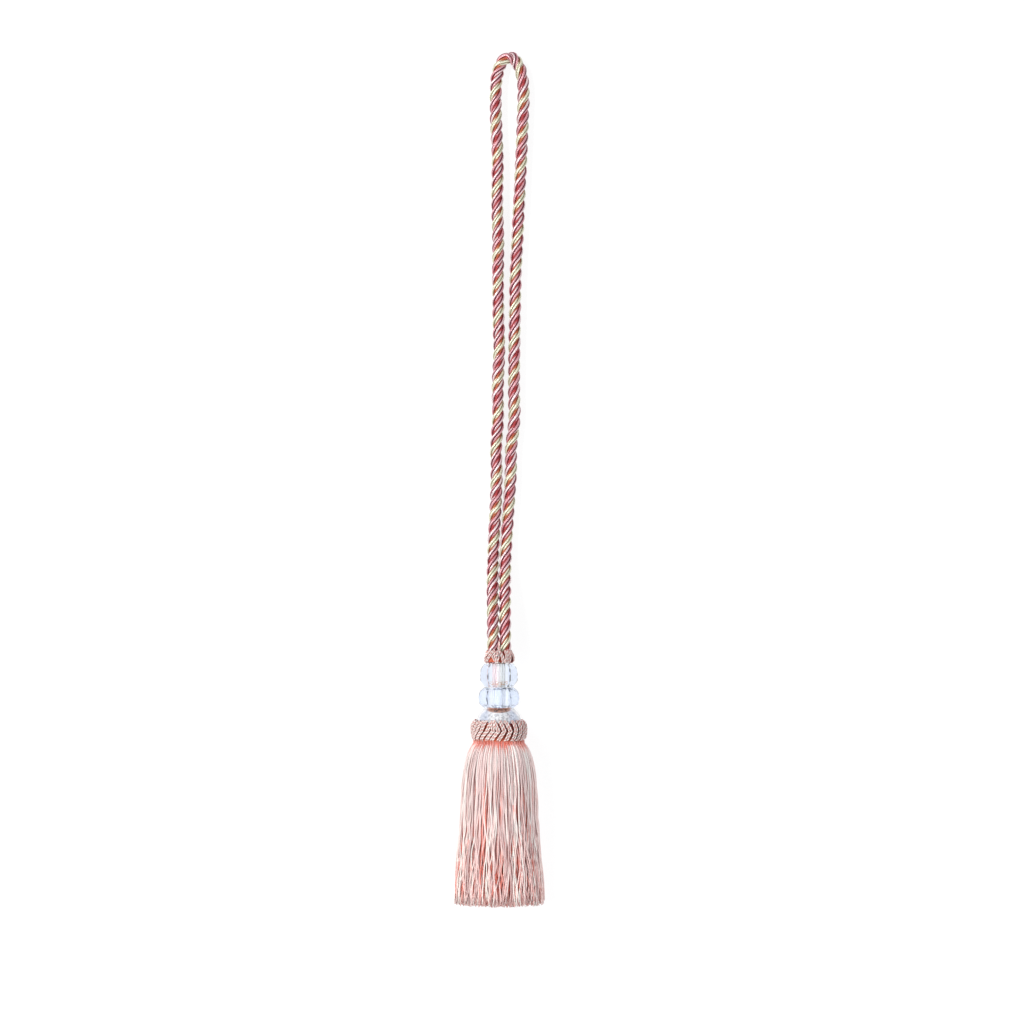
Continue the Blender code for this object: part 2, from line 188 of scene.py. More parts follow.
class RuffSettings(bpy.types.PropertyGroup):
    loops: IntProperty(
        name="Collar loops",
        description="Doubled thread loops round the thick collar",
        default=26,
        min=8,
    )
    small_loops: IntProperty(
        name="Top ruff loops",
        description="Doubled thread loops round the small ruff at the neck",
        default=17,
        min=6,
    )
    ply_radius: length_setting("Ply radius", "Radius of each of a collar thread's two plies", 0.00040)
    thread_lay: length_setting("Thread lay", "Length of one turn of a collar thread's two plies", 0.0028)
    pale: color_setting("Pale ply", "Ivory ply of the loops", (1.00, 0.95, 0.90))
    mauve: color_setting("Mauve ply", "Greyish pink ply of the loops", (0.82, 0.47, 0.43))
    # Painted shade on the sides of the loops' plies that face the tassel's middle, down between them.
    flank_shade: color_setting("Flank", "Sides of the loops' plies, down between them", (0.34, 0.060, 0.050))
    # The binding is painted: coral where it is painted lit, at its left and low down, and maroon as painted
    # shade.
    coral: color_setting("Coral binding", "Wound thread that shows between the loops", (0.92, 0.19, 0.08))
    maroon_shade: color_setting("Maroon binding", "The same thread's dark patches", (0.26, 0.025, 0.020))


class StoneSettings(bpy.types.PropertyGroup):
    bevel: length_setting("Edge bevel", "Width of the polished bevel along each facet's edge", 0.00016)
    # Grey for the flecks, and for the painted dark reflections along the wide facets' borders.
    edge: color_setting("Edge", "Grey of the marks along the facets' edges", (0.014, 0.015, 0.022))
    pale: color_setting(
        "Pale tint", "Colour of light that has gone through the middle of a wide facet", (0.82, 0.875, 0.97)
    )
    snow: color_setting("Snow", "The bell's crackled clear stone", (0.97, 0.975, 0.99))
    # Painted reflection: the bluer tint of the cut corners stands for the sky reflected in them.
    tint: color_setting("Tint", "Colour of light that has gone through a cut corner", (0.62, 0.69, 0.83))
    # Painted reflection of the core's threads in the facets.
    tan: color_setting(
        "Tan",
        "Small marks low in the upper bead and at the bell's neck, where threads show in the facets",
        (0.46, 0.20, 0.11),
    )
    # Painted shade in the middle of the painted reflection of the waist's thread at the bell's neck.
    neck: color_setting(
        "Neck",
        "Brown in the middle of the bell's neck, where its facets show the waist's thread",
        (0.10, 0.030, 0.015),
    )


class CoreSettings(bpy.types.PropertyGroup):
    rose: color_setting("Rose threads", "Core threads towards the left", (0.93, 0.66, 0.64))
    cream: color_setting("Cream threads", "Core threads towards the right", (0.86, 0.85, 0.78))
    ivory: color_setting(
        "Ivory threads", "Core threads inside the second bead and the bell", (0.80, 0.85, 0.93)
    )
    waist: color_setting(
        "Waist", "Terracotta thread wound between the second bead and the bell", (0.90, 0.47, 0.28)
    )
    # Painted shade on the waist's thread, where it passes over its top and under its bottom.
    waist_shade: color_setting("Dark waist", "The same thread's dark patches", (0.36, 0.10, 0.05))


class SkirtSettings(bpy.types.PropertyGroup):
    threads: IntProperty(
        name="Threads",
        description="Number of cut threads in the skirt",
        default=1900,
        min=100,
    )
    thread_radius: length_setting("Thread radius", "Radius of one thread", 0.00040)
    wander: length_setting("Wander", "How far a thread strays sideways at its tip", 0.0024)
    gather: FloatProperty(
        name="Gather",
        description="Share of the way that a tip is drawn to the middle of its lock",
        default=0.08,
        min=0.0,
        max=1.0,
        subtype="FACTOR",
    )
    blush: color_setting("Blush", "Most of the threads", (0.95, 0.655, 0.615))
    ivory: color_setting("Ivory", "The palest threads", (1.00, 0.93, 0.87))
    mauve: color_setting("Mauve", "Greyish threads", (0.64, 0.41, 0.39))
    silver: color_setting(
        "Silver", "Greyer colour that the threads take on towards the collar", (0.90, 0.82, 0.81)
    )
    coral: color_setting("Coral", "The threads' roots, and what shows deep in the splits", (0.78, 0.15, 0.09))


class StageSettings(bpy.types.PropertyGroup):
    camera_x: length_setting("Camera X", "Middle of the view", 0.0088)
    camera_y: length_setting("Camera Y", "Middle of the view", 0.1474)
    camera_z: length_setting("Camera height", "Above the surface, looking straight down", 3.0)
    view_width: length_setting("View width", "Width of the view half way up the tassel", 0.6935)
    key_power: power_setting("Key light", "Power of the soft main light", 39.0)
    fill_power: power_setting("Fill light", "Power of the softer fill light", 15.0)


# ------------------------------------------------------------
# Shapes


def unit(vectors):
    return vectors / np.linalg.norm(vectors, axis=-1, keepdims=True)


def carried_frames(lines):
    """Two directions across each line at each of its points, carried along the line without twisting."""
    tangents = unit(np.gradient(lines, axis=1))
    start = tangents[:, 0]
    helper = np.where(np.abs(start[:, 2:]) < 0.9, (0.0, 0.0, 1.0), (1.0, 0.0, 0.0))
    across = np.cross(helper, start)
    sides = np.empty_like(lines)
    for point in range(lines.shape[1]):
        tangent = tangents[:, point]
        across = unit(across - (across * tangent).sum(axis=-1, keepdims=True) * tangent)
        sides[:, point] = across
    return sides, np.cross(tangents, sides)


def lengths_along(lines):
    steps = np.linalg.norm(np.diff(lines, axis=1), axis=-1)
    return np.concatenate([np.zeros((len(lines), 1)), np.cumsum(steps, axis=1)], axis=1)


def place_on_tube(face):
    """A number that grows from ring to ring, and round each ring."""
    middle = face.calc_center_median()
    return 100.0 * middle.z + math.atan2(middle.y, middle.x)


def straight_tube(sides, stations):
    """A closed tube of radius 1 whose rings stand one unit apart, its faces in the same order each time."""
    bm = bmesh.new()
    bmesh.ops.create_circle(bm, cap_ends=False, segments=sides, radius=1.0)
    edges = list(bm.edges)
    for _ in range(1, stations):
        grown = bmesh.ops.extrude_edge_only(bm, edges=edges)["geom"]
        edges = [part for part in grown if isinstance(part, bmesh.types.BMEdge)]
        corners = [part for part in grown if isinstance(part, bmesh.types.BMVert)]
        edges = [edge for edge in edges if edge.verts[0] in corners and edge.verts[1] in corners]
        bmesh.ops.translate(bm, verts=corners, vec=(0.0, 0.0, 1.0))
    bmesh.ops.holes_fill(bm, edges=bm.edges, sides=0)
    bmesh.ops.recalc_face_normals(bm, faces=bm.faces)
    bm.faces.sort(key=place_on_tube)
    mesh = bpy.data.meshes.new("straight_tube")
    bm.to_mesh(mesh)
    bm.free()
    return mesh


def new_object(name, data):
    obj = bpy.data.objects.new(name, data)
    bpy.context.scene.collection.objects.link(obj)
    return obj


def repeated(mesh, count):
    """One mesh that holds the mesh this many times."""
    obj = new_object("pattern", mesh)
    copies = obj.modifiers.new("copies", "ARRAY")
    copies.count = count
    copies.use_relative_offset = False
    graph = bpy.context.evaluated_depsgraph_get()
    joined = bpy.data.meshes.new_from_object(obj.evaluated_get(graph))
    bpy.data.objects.remove(obj)
    return joined


def wrap_map(mesh, turn, along, count):
    """UV map of tubes: across is round the tube, and up is metres along it. Its seam is between two faces."""
    corner = np.empty(len(mesh.loops), int)
    mesh.loops.foreach_get("vertex_index", corner)
    round_tube = np.tile(turn, count)[corner]
    for polygon in mesh.polygons:
        loops = list(polygon.loop_indices)
        part = round_tube[loops]
        if len(loops) == 4 and part.max() - part.min() > 0.5:
            round_tube[loops] = np.where(part < 0.5, part + 1.0, part)
    layer = mesh.uv_layers.new(name="wrap")
    pairs = np.stack([round_tube, along.ravel()[corner]], axis=1)
    layer.data.foreach_set("uv", pairs.astype(np.float32).ravel())


def tube_mesh(name, lines, radius, sides, hearts=None, axis=None, **looks):
    """One mesh of closed tubes, each round one of the lines (tube, point, xyz).

    The radius is a number or an array over tubes and points. Each of the looks is an array over tubes and
    points, or over tubes alone, and becomes an attribute. With hearts, the attribute outward is 0 on the
    side towards the heart line and 1 on the side away from it. With an axis, the attribute reach is the
    distance from that line.
    """
    count, stations = lines.shape[:2]
    tube = straight_tube(sides, stations)
    places = np.empty(len(tube.vertices) * 3)
    tube.vertices.foreach_get("co", places)
    places = places.reshape(-1, 3)
    station = np.rint(places[:, 2]).astype(int)
    mesh = repeated(tube, count)
    mesh.name = name
    bpy.data.meshes.remove(tube)
    across, up = carried_frames(lines)
    thick = np.broadcast_to(radius, (count, stations))[:, station, None]
    away = places[:, 0, None] * across[:, station] + places[:, 1, None] * up[:, station]
    points = lines[:, station] + thick * away
    mesh.vertices.foreach_set("co", points.astype(np.float32).ravel())
    if hearts is not None:
        outwards = unit(lines - hearts)[:, station]
        looks["outward"] = (outwards * away).sum(axis=-1) / 2 + 0.5
    if axis is not None:
        looks["reach"] = np.linalg.norm(points - axis[station], axis=-1)
    for label, values in looks.items():
        values = np.asarray(values, float)
        if values.ndim == 1:
            values = np.broadcast_to(values[:, None], (count, stations))
        if values.shape[1] == stations:
            values = values[:, station]
        attribute = mesh.attributes.new(label, "FLOAT", "POINT")
        attribute.data.foreach_set("value", values.astype(np.float32).ravel())
    turn = np.arctan2(places[:, 1], places[:, 0]) / (2 * math.pi) % 1.0
    wrap_map(mesh, np.round(turn, 6), lengths_along(lines)[:, station], count)
    mesh.shade_smooth()
    mesh.update()
    return mesh


def twisted_plies(lines, offset, lay):
    """The middle lines of two plies twisted round each of the lines: all the first plies, then the second."""
    across, up = carried_frames(lines)
    turn = 2 * math.pi * lengths_along(lines) / lay
    made = []
    for start in (0.0, math.pi):
        angle = (turn + start)[:, :, None]
        made.append(lines + offset * (np.cos(angle) * across + np.sin(angle) * up))
    return np.concatenate(made)


def wound_thread(name, angle, radii, along, thread, sides, finish, slot, **looks):
    """A piece wound from one thread round the tassel's axis, with its radii to the side and upwards."""
    across = radii[0] * np.cos(angle)
    height = np.maximum(AXIS_HEIGHT + radii[1] * np.sin(angle), thread)
    line = np.stack([across, np.broadcast_to(along, angle.shape), height], axis=1)
    mesh = tube_mesh(name, line[None], thread, sides, tone=[0.5], **looks)
    add_piece(name, mesh, finish, slot)


def resampled(line, count):
    """This many evenly spaced points along a line of points."""
    along = lengths_along(line[None])[0]
    distances = np.linspace(0.0, along[-1], count)
    return np.stack([np.interp(distances, along, line[:, k]) for k in range(3)], axis=1)


def add_piece(name, mesh, finish, slot, *nodes):
    """A finished piece that rides with the object and stands for these nodes."""
    obj = new_object(name, mesh)
    mesh.materials.append(finish)
    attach(obj, BODY)
    if nodes:
        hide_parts(*nodes)
    return obj


# ------------------------------------------------------------
# Finishes


def new_group(name, inputs, outputs):
    """A shader node group, its nodes, its links and its two ends. Sockets are given as name and type."""
    tree = bpy.data.node_groups.new(name, "ShaderNodeTree")
    for label, kind, default in inputs:
        made = tree.interface.new_socket(label, in_out="INPUT", socket_type=kind)
        made.default_value = default
    for label, kind in outputs:
        tree.interface.new_socket(label, in_out="OUTPUT", socket_type=kind)
    return tree, tree.nodes.new("NodeGroupInput"), tree.nodes.new("NodeGroupOutput")


def fill(tree, socket, value):
    """Give a socket its value: a number, a colour or another node's output."""
    if isinstance(value, bpy.types.NodeSocket):
        tree.links.new(value, socket)
    elif isinstance(value, (int, float)):
        socket.default_value = value
    else:
        socket.default_value = (*value, 1.0)


def math_node(tree, operation, first, second=0.0, clamp=False):
    node = tree.nodes.new("ShaderNodeMath")
    node.operation = operation
    node.use_clamp = clamp
    fill(tree, node.inputs[0], first)
    fill(tree, node.inputs[1], second)
    return node.outputs[0]


def product(tree, *values):
    made = values[0]
    for value in values[1:]:
        made = math_node(tree, "MULTIPLY", made, value)
    return made


# The sockets of a Mix node that hold colours. Its sockets for numbers and vectors have the same names.
MIX_FIRST = 6
MIX_SECOND = 7
MIX_RESULT = 2


def mix_color(tree, share, first, second, blend="MIX"):
    """The first colour where the share is 0, and the second where it is 1."""
    node = tree.nodes.new("ShaderNodeMix")
    node.data_type = "RGBA"
    node.blend_type = blend
    fill(tree, node.inputs["Factor"], share)
    fill(tree, node.inputs[MIX_FIRST], first)
    fill(tree, node.inputs[MIX_SECOND], second)
    return node.outputs[MIX_RESULT]


STREAKS_PER_METRE = 90.0  # along a thread
TONE_SPREAD = 57.0  # how far apart in the noise the streaks of two threads lie, for a tone that differs by 1


def wrap_group():
    """Fine thread wound round a tube: a ridge height and its hollows, from the tube's own map."""
    known = bpy.data.node_groups.get("thread_wrap")
    if known:
        return known
    tree, start, end = new_group(
        "thread_wrap",
        (
            ("Around", "NodeSocketFloat", 0.0),
            ("Along", "NodeSocketFloat", 0.0),
            ("Pitch", "NodeSocketFloat", 0.0005),
            ("Starts", "NodeSocketFloat", 1.0),
            ("Tone", "NodeSocketFloat", 0.0),
        ),
        (("Ridge", "NodeSocketFloat"), ("Streak", "NodeSocketFloat")),
    )
    turns = math_node(tree, "DIVIDE", start.outputs["Along"], start.outputs["Pitch"])
    lead = product(tree, start.outputs["Around"], start.outputs["Starts"])
    angle = product(tree, math_node(tree, "ADD", turns, lead), 2 * math.pi)
    ridge = math_node(tree, "ADD", product(tree, math_node(tree, "SINE", angle), 0.5), 0.5)
    tree.links.new(ridge, end.inputs["Ridge"])
    place = tree.nodes.new("ShaderNodeCombineXYZ")
    tree.links.new(product(tree, start.outputs["Along"], STREAKS_PER_METRE), place.inputs[0])
    tree.links.new(product(tree, start.outputs["Tone"], TONE_SPREAD), place.inputs[1])
    noise = tree.nodes.new("ShaderNodeTexNoise")
    noise.inputs["Scale"].default_value = 1.0
    noise.inputs["Detail"].default_value = 2.0
    tree.links.new(place.outputs[0], noise.inputs["Vector"])
    tree.links.new(noise.outputs["Fac"], end.inputs["Streak"])
    return tree


def new_material(name):
    finish = bpy.data.materials.new(name)
    finish.use_nodes = True
    return finish, finish.node_tree, finish.node_tree.nodes["Principled BSDF"]


def thread_material(name, pitch, starts, bump, roughness):
    """A thread's material without its colour yet, and what its colour is made from."""
    finish, tree, shader = new_material(name)
    shader.inputs["Roughness"].default_value = roughness
    shader.inputs["Sheen Weight"].default_value = 0.15
    shader.inputs["Sheen Roughness"].default_value = 0.4
    uv = tree.nodes.new("ShaderNodeUVMap")
    uv.uv_map = "wrap"
    parts = tree.nodes.new("ShaderNodeSeparateXYZ")
    tree.links.new(uv.outputs[0], parts.inputs[0])
    wrap = tree.nodes.new("ShaderNodeGroup")
    wrap.node_tree = wrap_group()
    wrap.inputs["Pitch"].default_value = pitch
    wrap.inputs["Starts"].default_value = starts
    tree.links.new(parts.outputs[0], wrap.inputs["Around"])
    tree.links.new(parts.outputs[1], wrap.inputs["Along"])
    tree.links.new(attribute(tree, "tone"), wrap.inputs["Tone"])
    relief = tree.nodes.new("ShaderNodeBump")
    relief.inputs["Strength"].default_value = bump
    relief.inputs["Distance"].default_value = pitch / 4
    tree.links.new(wrap.outputs["Ridge"], relief.inputs["Height"])
    tree.links.new(relief.outputs[0], shader.inputs["Normal"])
    return finish, tree, shader, wrap


def attribute(tree, name):
    node = tree.nodes.new("ShaderNodeAttribute")
    node.attribute_name = name
    return node.outputs["Fac"]


def object_noise(tree, scale, detail):
    coords = tree.nodes.new("ShaderNodeTexCoord")
    noise = tree.nodes.new("ShaderNodeTexNoise")
    noise.inputs["Scale"].default_value = scale
    noise.inputs["Detail"].default_value = detail
    tree.links.new(coords.outputs["Object"], noise.inputs["Vector"])
    return noise.outputs["Fac"]


def eased(tree, value, low, high):
    """The value's smooth rise from 0 at low to 1 at high."""
    node = tree.nodes.new("ShaderNodeMapRange")
    node.interpolation_type = "SMOOTHSTEP"
    node.inputs["From Min"].default_value = low
    node.inputs["From Max"].default_value = high
    tree.links.new(value, node.inputs["Value"])
    return node.outputs[0]


def color_ramp(tree, value, stops):
    """The value's colour, or grey, between stops given as position and colour."""
    node = tree.nodes.new("ShaderNodeValToRGB")
    elements = node.color_ramp.elements
    while len(elements) < len(stops):
        elements.new(0.5)
    for element, (position, color) in zip(elements, stops):
        element.position = position
        element.color = (color, color, color, 1.0) if isinstance(color, float) else (*color, 1.0)
    tree.links.new(value, node.inputs[0])
    return node.outputs[0]


def darkened(tree, color, share, amount):
    """The colour with this amount of itself taken away where the share is 0."""
    kept = math_node(tree, "ADD", product(tree, share, amount), 1.0 - amount)
    grey = tree.nodes.new("ShaderNodeCombineColor")
    for socket in grey.inputs:
        tree.links.new(kept, socket)
    return mix_color(tree, 1.0, color, grey.outputs[0], "MULTIPLY")


# ------------------------------------------------------------
# Twisted cord


def smooth_line(route, steps):
    """Points along a smooth curve through the route, each span a Bezier that leaves along its neighbours."""
    points = [Vector(point) for point in route]
    last = len(points) - 1
    line = [points[0]]
    for i in range(last):
        start = points[i]
        end = points[i + 1]
        reach = (end - start).length / 3
        leave = (end - points[max(i - 1, 0)]).normalized() * reach
        arrive = (points[min(i + 2, last)] - start).normalized() * reach
        line += interpolate_bezier(start, start + leave, end - arrive, end, steps + 1)[1:]
    return np.array([tuple(point) for point in line])


def cord_material(size):
    finish, tree, shader, wrap = thread_material(
        "silky_cord_yarns", size.wrap_pitch, starts=1.0, bump=0.15, roughness=0.28
    )
    cream = attribute(tree, "cream")
    rose = mix_color(tree, attribute(tree, "tone"), size.rose_light, size.rose_pale)
    crest = mix_color(tree, cream, rose, size.cream_light)
    # painted shade on each yarn's side towards its ply's middle, between the yarns
    edge = mix_color(tree, cream, size.plum_yarn_shade, size.moss_yarn_shade)
    # painted shade and painted reflection on the plies' sides and the threads in the grooves
    groove = mix_color(tree, cream, size.rose_groove_shade, size.cream_groove_shade)
    color = mix_color(tree, eased(tree, attribute(tree, "outward"), *YARN_CREST), edge, crest)
    reach = attribute(tree, "reach")
    # painted shade, darkest deep in a groove
    groove = darkened(tree, groove, eased(tree, reach, *GROOVE_PAINTED_SHADE), 0.45)
    outer = eased(tree, reach, *CREST_START)
    color = mix_color(tree, outer, groove, color)
    rough = math_node(tree, "SUBTRACT", GROOVE_ROUGHNESS, product(tree, outer, CREST_POLISH))
    tree.links.new(rough, shader.inputs["Roughness"])
    # painted shade in the hollows between the wrap's turns
    color = darkened(tree, color, wrap.outputs["Ridge"], 0.25)
    tree.links.new(darkened(tree, color, wrap.outputs["Streak"], 0.25), shader.inputs["Base Color"])
    shader.inputs["Specular IOR Level"].default_value = 1.0
    shader.inputs["Metallic"].default_value = 0.3
    return finish


def cord_turns(middle, along):
    """How many turns the twist has made at each point of the cord's middle line."""
    top = np.argmax(middle[:, 1])
    distances = []
    for leg, height, _ in CREAM_ON_TOP:
        part = slice(0, top) if leg == "left" else slice(top, len(middle))
        distances.append(along[part][np.argmin(np.abs(middle[part, 1] - height))])
    turns = [row[2] for row in CREAM_ON_TOP]
    first_lay = (distances[1] - distances[0]) / (turns[1] - turns[0])
    last_lay = (distances[-1] - distances[-2]) / (turns[-1] - turns[-2])
    before = np.minimum(along - distances[0], 0.0) / first_lay
    after = np.maximum(along - distances[-1], 0.0) / last_lay
    return np.interp(along, distances, turns) + before + after


def build_cord(size):
    middle = smooth_line(CORD_ROUTE, CORD_SPAN_STEPS)
    length = lengths_along(middle[None])[0, -1]
    middle = resampled(middle, round(length / size.step) + 1)
    middle[:, 2] = np.maximum(middle[:, 2], CORD_REACH)
    across, up = carried_frames(middle[None])
    distances = lengths_along(middle[None])[0]
    turns = cord_turns(middle, distances)

    def helix(start, offset):
        angle = 2 * math.pi * (turns + start + 0.25)[:, None]
        return middle + offset * (np.cos(angle) * across[0] + np.sin(angle) * up[0])

    lines = []
    hearts = []
    radius = []
    tone = []
    cream = []
    for start, yarn, offset, is_cream in PLIES:
        ply = helix(start, offset)
        out = unit(ply - middle)
        lead = np.cross(out, unit(np.gradient(ply, axis=0)))
        ring = yarn / math.sin(math.pi / YARNS)
        for index in range(YARNS):
            angle = 2 * math.pi * (index / YARNS + distances / YARN_LAY)[:, None]
            lines.append(ply + ring * (np.cos(angle) * out + np.sin(angle) * lead))
            hearts.append(ply)
            radius.append(yarn)
            tone.append(index % 2)
            cream.append(is_cream)
    # the dark threads in the grooves, put there as painted shade
    for start, thread, offset, is_cream in GROOVE_SHADE_THREADS:
        lines.append(helix(start, offset))
        hearts.append(middle)
        radius.append(thread)
        tone.append(start)
        cream.append(is_cream)
    mesh = tube_mesh(
        "tie_cord_yarns",
        np.array(lines),
        np.array(radius)[:, None],
        7,
        hearts=np.array(hearts),
        axis=middle,
        tone=tone,
        cream=cream,
    )
    cord = add_piece("tie_cord_yarns", mesh, cord_material(size), "cord_thread", "tie_cord")


# ------------------------------------------------------------
# Collar and small ruff

PLY_CREST = (0.45, 0.84)  # share of the way out across a loop's ply where its own colour starts and is full; the side towards the tassel's middle gets painted shade
LEG_POINTS = 24  # on each of a loop's two sides
TOP_POINTS = 9  # round its top, with the two sides' ends
TOP_RISE = 0.12  # of its rounded top above its sides
LOOP_BEND = 0.05  # the rise at which a loop turns back
COLLAR_LEANS = (
    (-1.0, -0.45, 0.0, 0.5, 1.0),  # across the collar, from its left side to its right
    (1.25, 1.35, 1.1, 0.6, 0.3),  # lean below the bend
    (1.0, 0.6, -0.8, -0.5, -0.2),  # lean above the bend
)
RUFF_LEANS = (
    (-1.0, -0.7, -0.45, 0.2, 1.0),  # across the small ruff, from its left side to its right
    (0.8, 0.9, -0.2, 0.3, -0.4),  # lean below the bend
    (0.7, 0.7, 0.6, 0.0, -0.5),  # lean above the bend
)
COLLAR_WALL = 0.0160  # from the axis, at the collar's top and bottom
COLLAR_BULGE = 0.0024  # how much further out its middle is
COLLAR_HALF_HEIGHT = 0.0063
COLLAR_REST = 0.00080  # lowest that a loop's middle line lies
RUFF_MIDDLE = 0.04995  # along the tassel
RUFF_HALF_HEIGHT = 0.0041
RUFF_TAPER = 0.0004
RUFF_WALLS = ((0.0080, 0.0013), (0.0058, 0.0014))  # half width and its bulge, half depth and its bulge
RUFF_THREAD = 0.86  # the small ruff's thread as a share of the collar's
CURL = (-0.0020, 0.0518, 0.0264)  # a loop that curls over the small ruff's top
CURL_RADIUS = 0.0011
NECK_RADIUS = 0.0010  # across the threads between the cord's two ends
NECK_DEPTH = 2.4  # how much deeper than wide they lie
NECK_HEIGHT = 0.0186
NECK_START = 0.0480  # along the tassel
NECK_LENGTH = 0.0120
NECK_TONES = (0.4, 1.0, 0.7, 1.0, 0.5, 0.9)  # a thread each
LOOPS_TO_TOP = 0.11  # how much closer together the loops are at the ring's top and bottom than at its sides


def loop_material(name, size, pitch):
    finish, tree, shader, wrap = thread_material(name, pitch, starts=1.0, bump=0.25, roughness=0.34)
    color = mix_color(tree, attribute(tree, "tone"), size.pale, size.mauve)
    # painted shade on the side of each ply that faces the tassel's middle line
    color = mix_color(tree, eased(tree, attribute(tree, "outward"), *PLY_CREST), size.flank_shade, color)
    tree.links.new(darkened(tree, color, wrap.outputs["Streak"], 0.25), shader.inputs["Base Color"])
    shader.inputs["Specular IOR Level"].default_value = 0.8
    return finish


def binding_material(name, color, deep, painted_light_name=None):
    """Wound thread of two colours: in random patches, or in painted light and painted shade by an attribute.
    """
    finish, tree, shader, wrap = thread_material(name, pitch=0.0006, starts=2.0, bump=0.3, roughness=0.6)
    if painted_light_name:
        patches = attribute(tree, painted_light_name)
    else:
        patches = eased(tree, object_noise(tree, 130.0, 1.0), 0.42, 0.62)
    # The deep colour is random dark patches, or painted shade where the attribute paints the light; the ridge
    # adds painted shade in the hollows between the wrap's turns.
    shade = darkened(tree, mix_color(tree, patches, deep, color), wrap.outputs["Ridge"], 0.3)
    tree.links.new(darkened(tree, shade, wrap.outputs["Streak"], 0.3), shader.inputs["Base Color"])
    return finish


def hairpins(count, points, place, leans, spread, stand_out, ruffle):
    """The middle lines of doubled thread loops: up one side, round the top and down the other.

    place(angle, rise, out) gives a point of the ring, where rise goes from -1 below to 1 above. leans holds
    how far a loop leans below and above its bend, in loop widths, by its place across the ring. spread is
    from a loop's middle to its two sides, stand_out how far one loop stands out more than another, and
    ruffle how uneven they are.
    """
    chance = np.random.default_rng(7)
    over = np.linspace(0.0, math.pi, TOP_POINTS)[1:-1]
    climb = np.linspace(-1.0, 1.0, LEG_POINTS)
    rise = np.concatenate([climb, 1.0 + TOP_RISE * np.sin(over), climb[::-1]])
    side = np.concatenate([-np.ones(LEG_POINTS), -np.cos(over), np.ones(LEG_POINTS)])
    lines = []
    pitch = 2 * math.pi / count
    for loop in range(count):
        middle = pitch * (loop + 0.5 + chance.uniform(-0.06, 0.06))
        middle += LOOPS_TO_TOP / 2 * math.sin(2 * middle)
        low, high = (
            np.interp(math.cos(middle), leans[0], lean) + ruffle * chance.uniform(-1.0, 1.0)
            for lean in leans[1:]
        )
        lean = low * np.minimum(rise - LOOP_BEND, 0.0) + high * np.maximum(rise - LOOP_BEND, 0.0)
        angle = middle + pitch * (lean + spread * side)
        level = np.where(rise > 0.0, rise * (1.0 - ruffle * chance.uniform(0.0, 0.5)), rise)
        out = stand_out * (chance.uniform(-1.0, 1.0) + chance.uniform(-0.6, 0.6) * side)
        lines.append(resampled(place(angle, level, out * (1.0 - np.minimum(level**4, 1.0))), points))
    return np.array(lines)


def place_in_collar(angle, rise, out):
    wall = COLLAR_WALL + COLLAR_BULGE * np.sqrt(np.clip(1.0 - np.abs(rise) ** 3.2, 0.0, 1.0)) + out
    height = np.maximum(AXIS_HEIGHT - wall * np.sin(angle), COLLAR_REST)
    return np.stack([wall * np.cos(angle), COLLAR_HALF_HEIGHT * rise, height], axis=1)


def place_in_ruff(angle, rise, out):
    bulge = np.sqrt(np.clip(1.0 - np.abs(rise) ** 3.0, 0.0, 1.0))
    wide, deep = (wall - RUFF_TAPER * rise + swell * bulge + out for wall, swell in RUFF_WALLS)
    along = RUFF_MIDDLE + RUFF_HALF_HEIGHT * rise
    return np.stack([wide * np.cos(angle), along, AXIS_HEIGHT - deep * np.sin(angle)], axis=1)


def wound_ring(name, radii, low, high, thread, turns, finish):
    """A ring wound from one thread, its turns one above the other. Light is painted on it at its left and low
    down.
    """
    angle = np.linspace(0.0, 2 * math.pi * turns, 48 * turns + 1)
    along = np.linspace(low, high, len(angle))
    # Painted light and shade: 1 where the thread is painted as lit, at its left and low down, and 0 where it
    # takes the painted shade colour.
    lit = np.clip(0.55 - 0.8 * np.cos(angle) + np.linspace(0.35, -0.25, len(angle)), 0.0, 1.0)
    wound_thread(name, angle, radii, along, thread, 6, finish, "ruff_thread", lit=lit[None])


def looped_ring(name, centre, ply, lay, finish, node):
    """A ring of loops, each of two plies twisted together round its middle line."""
    heart = centre.copy()
    heart[:, :, 0] = 0.0
    heart[:, :, 2] = AXIS_HEIGHT
    lines = twisted_plies(centre, ply * 0.92, lay)
    tone = np.repeat([0.0, 1.0], len(centre))
    mesh = tube_mesh(name, lines, ply, 6, hearts=np.concatenate([heart, heart]), tone=tone)
    add_piece(name, mesh, finish, "ruff_thread", node)


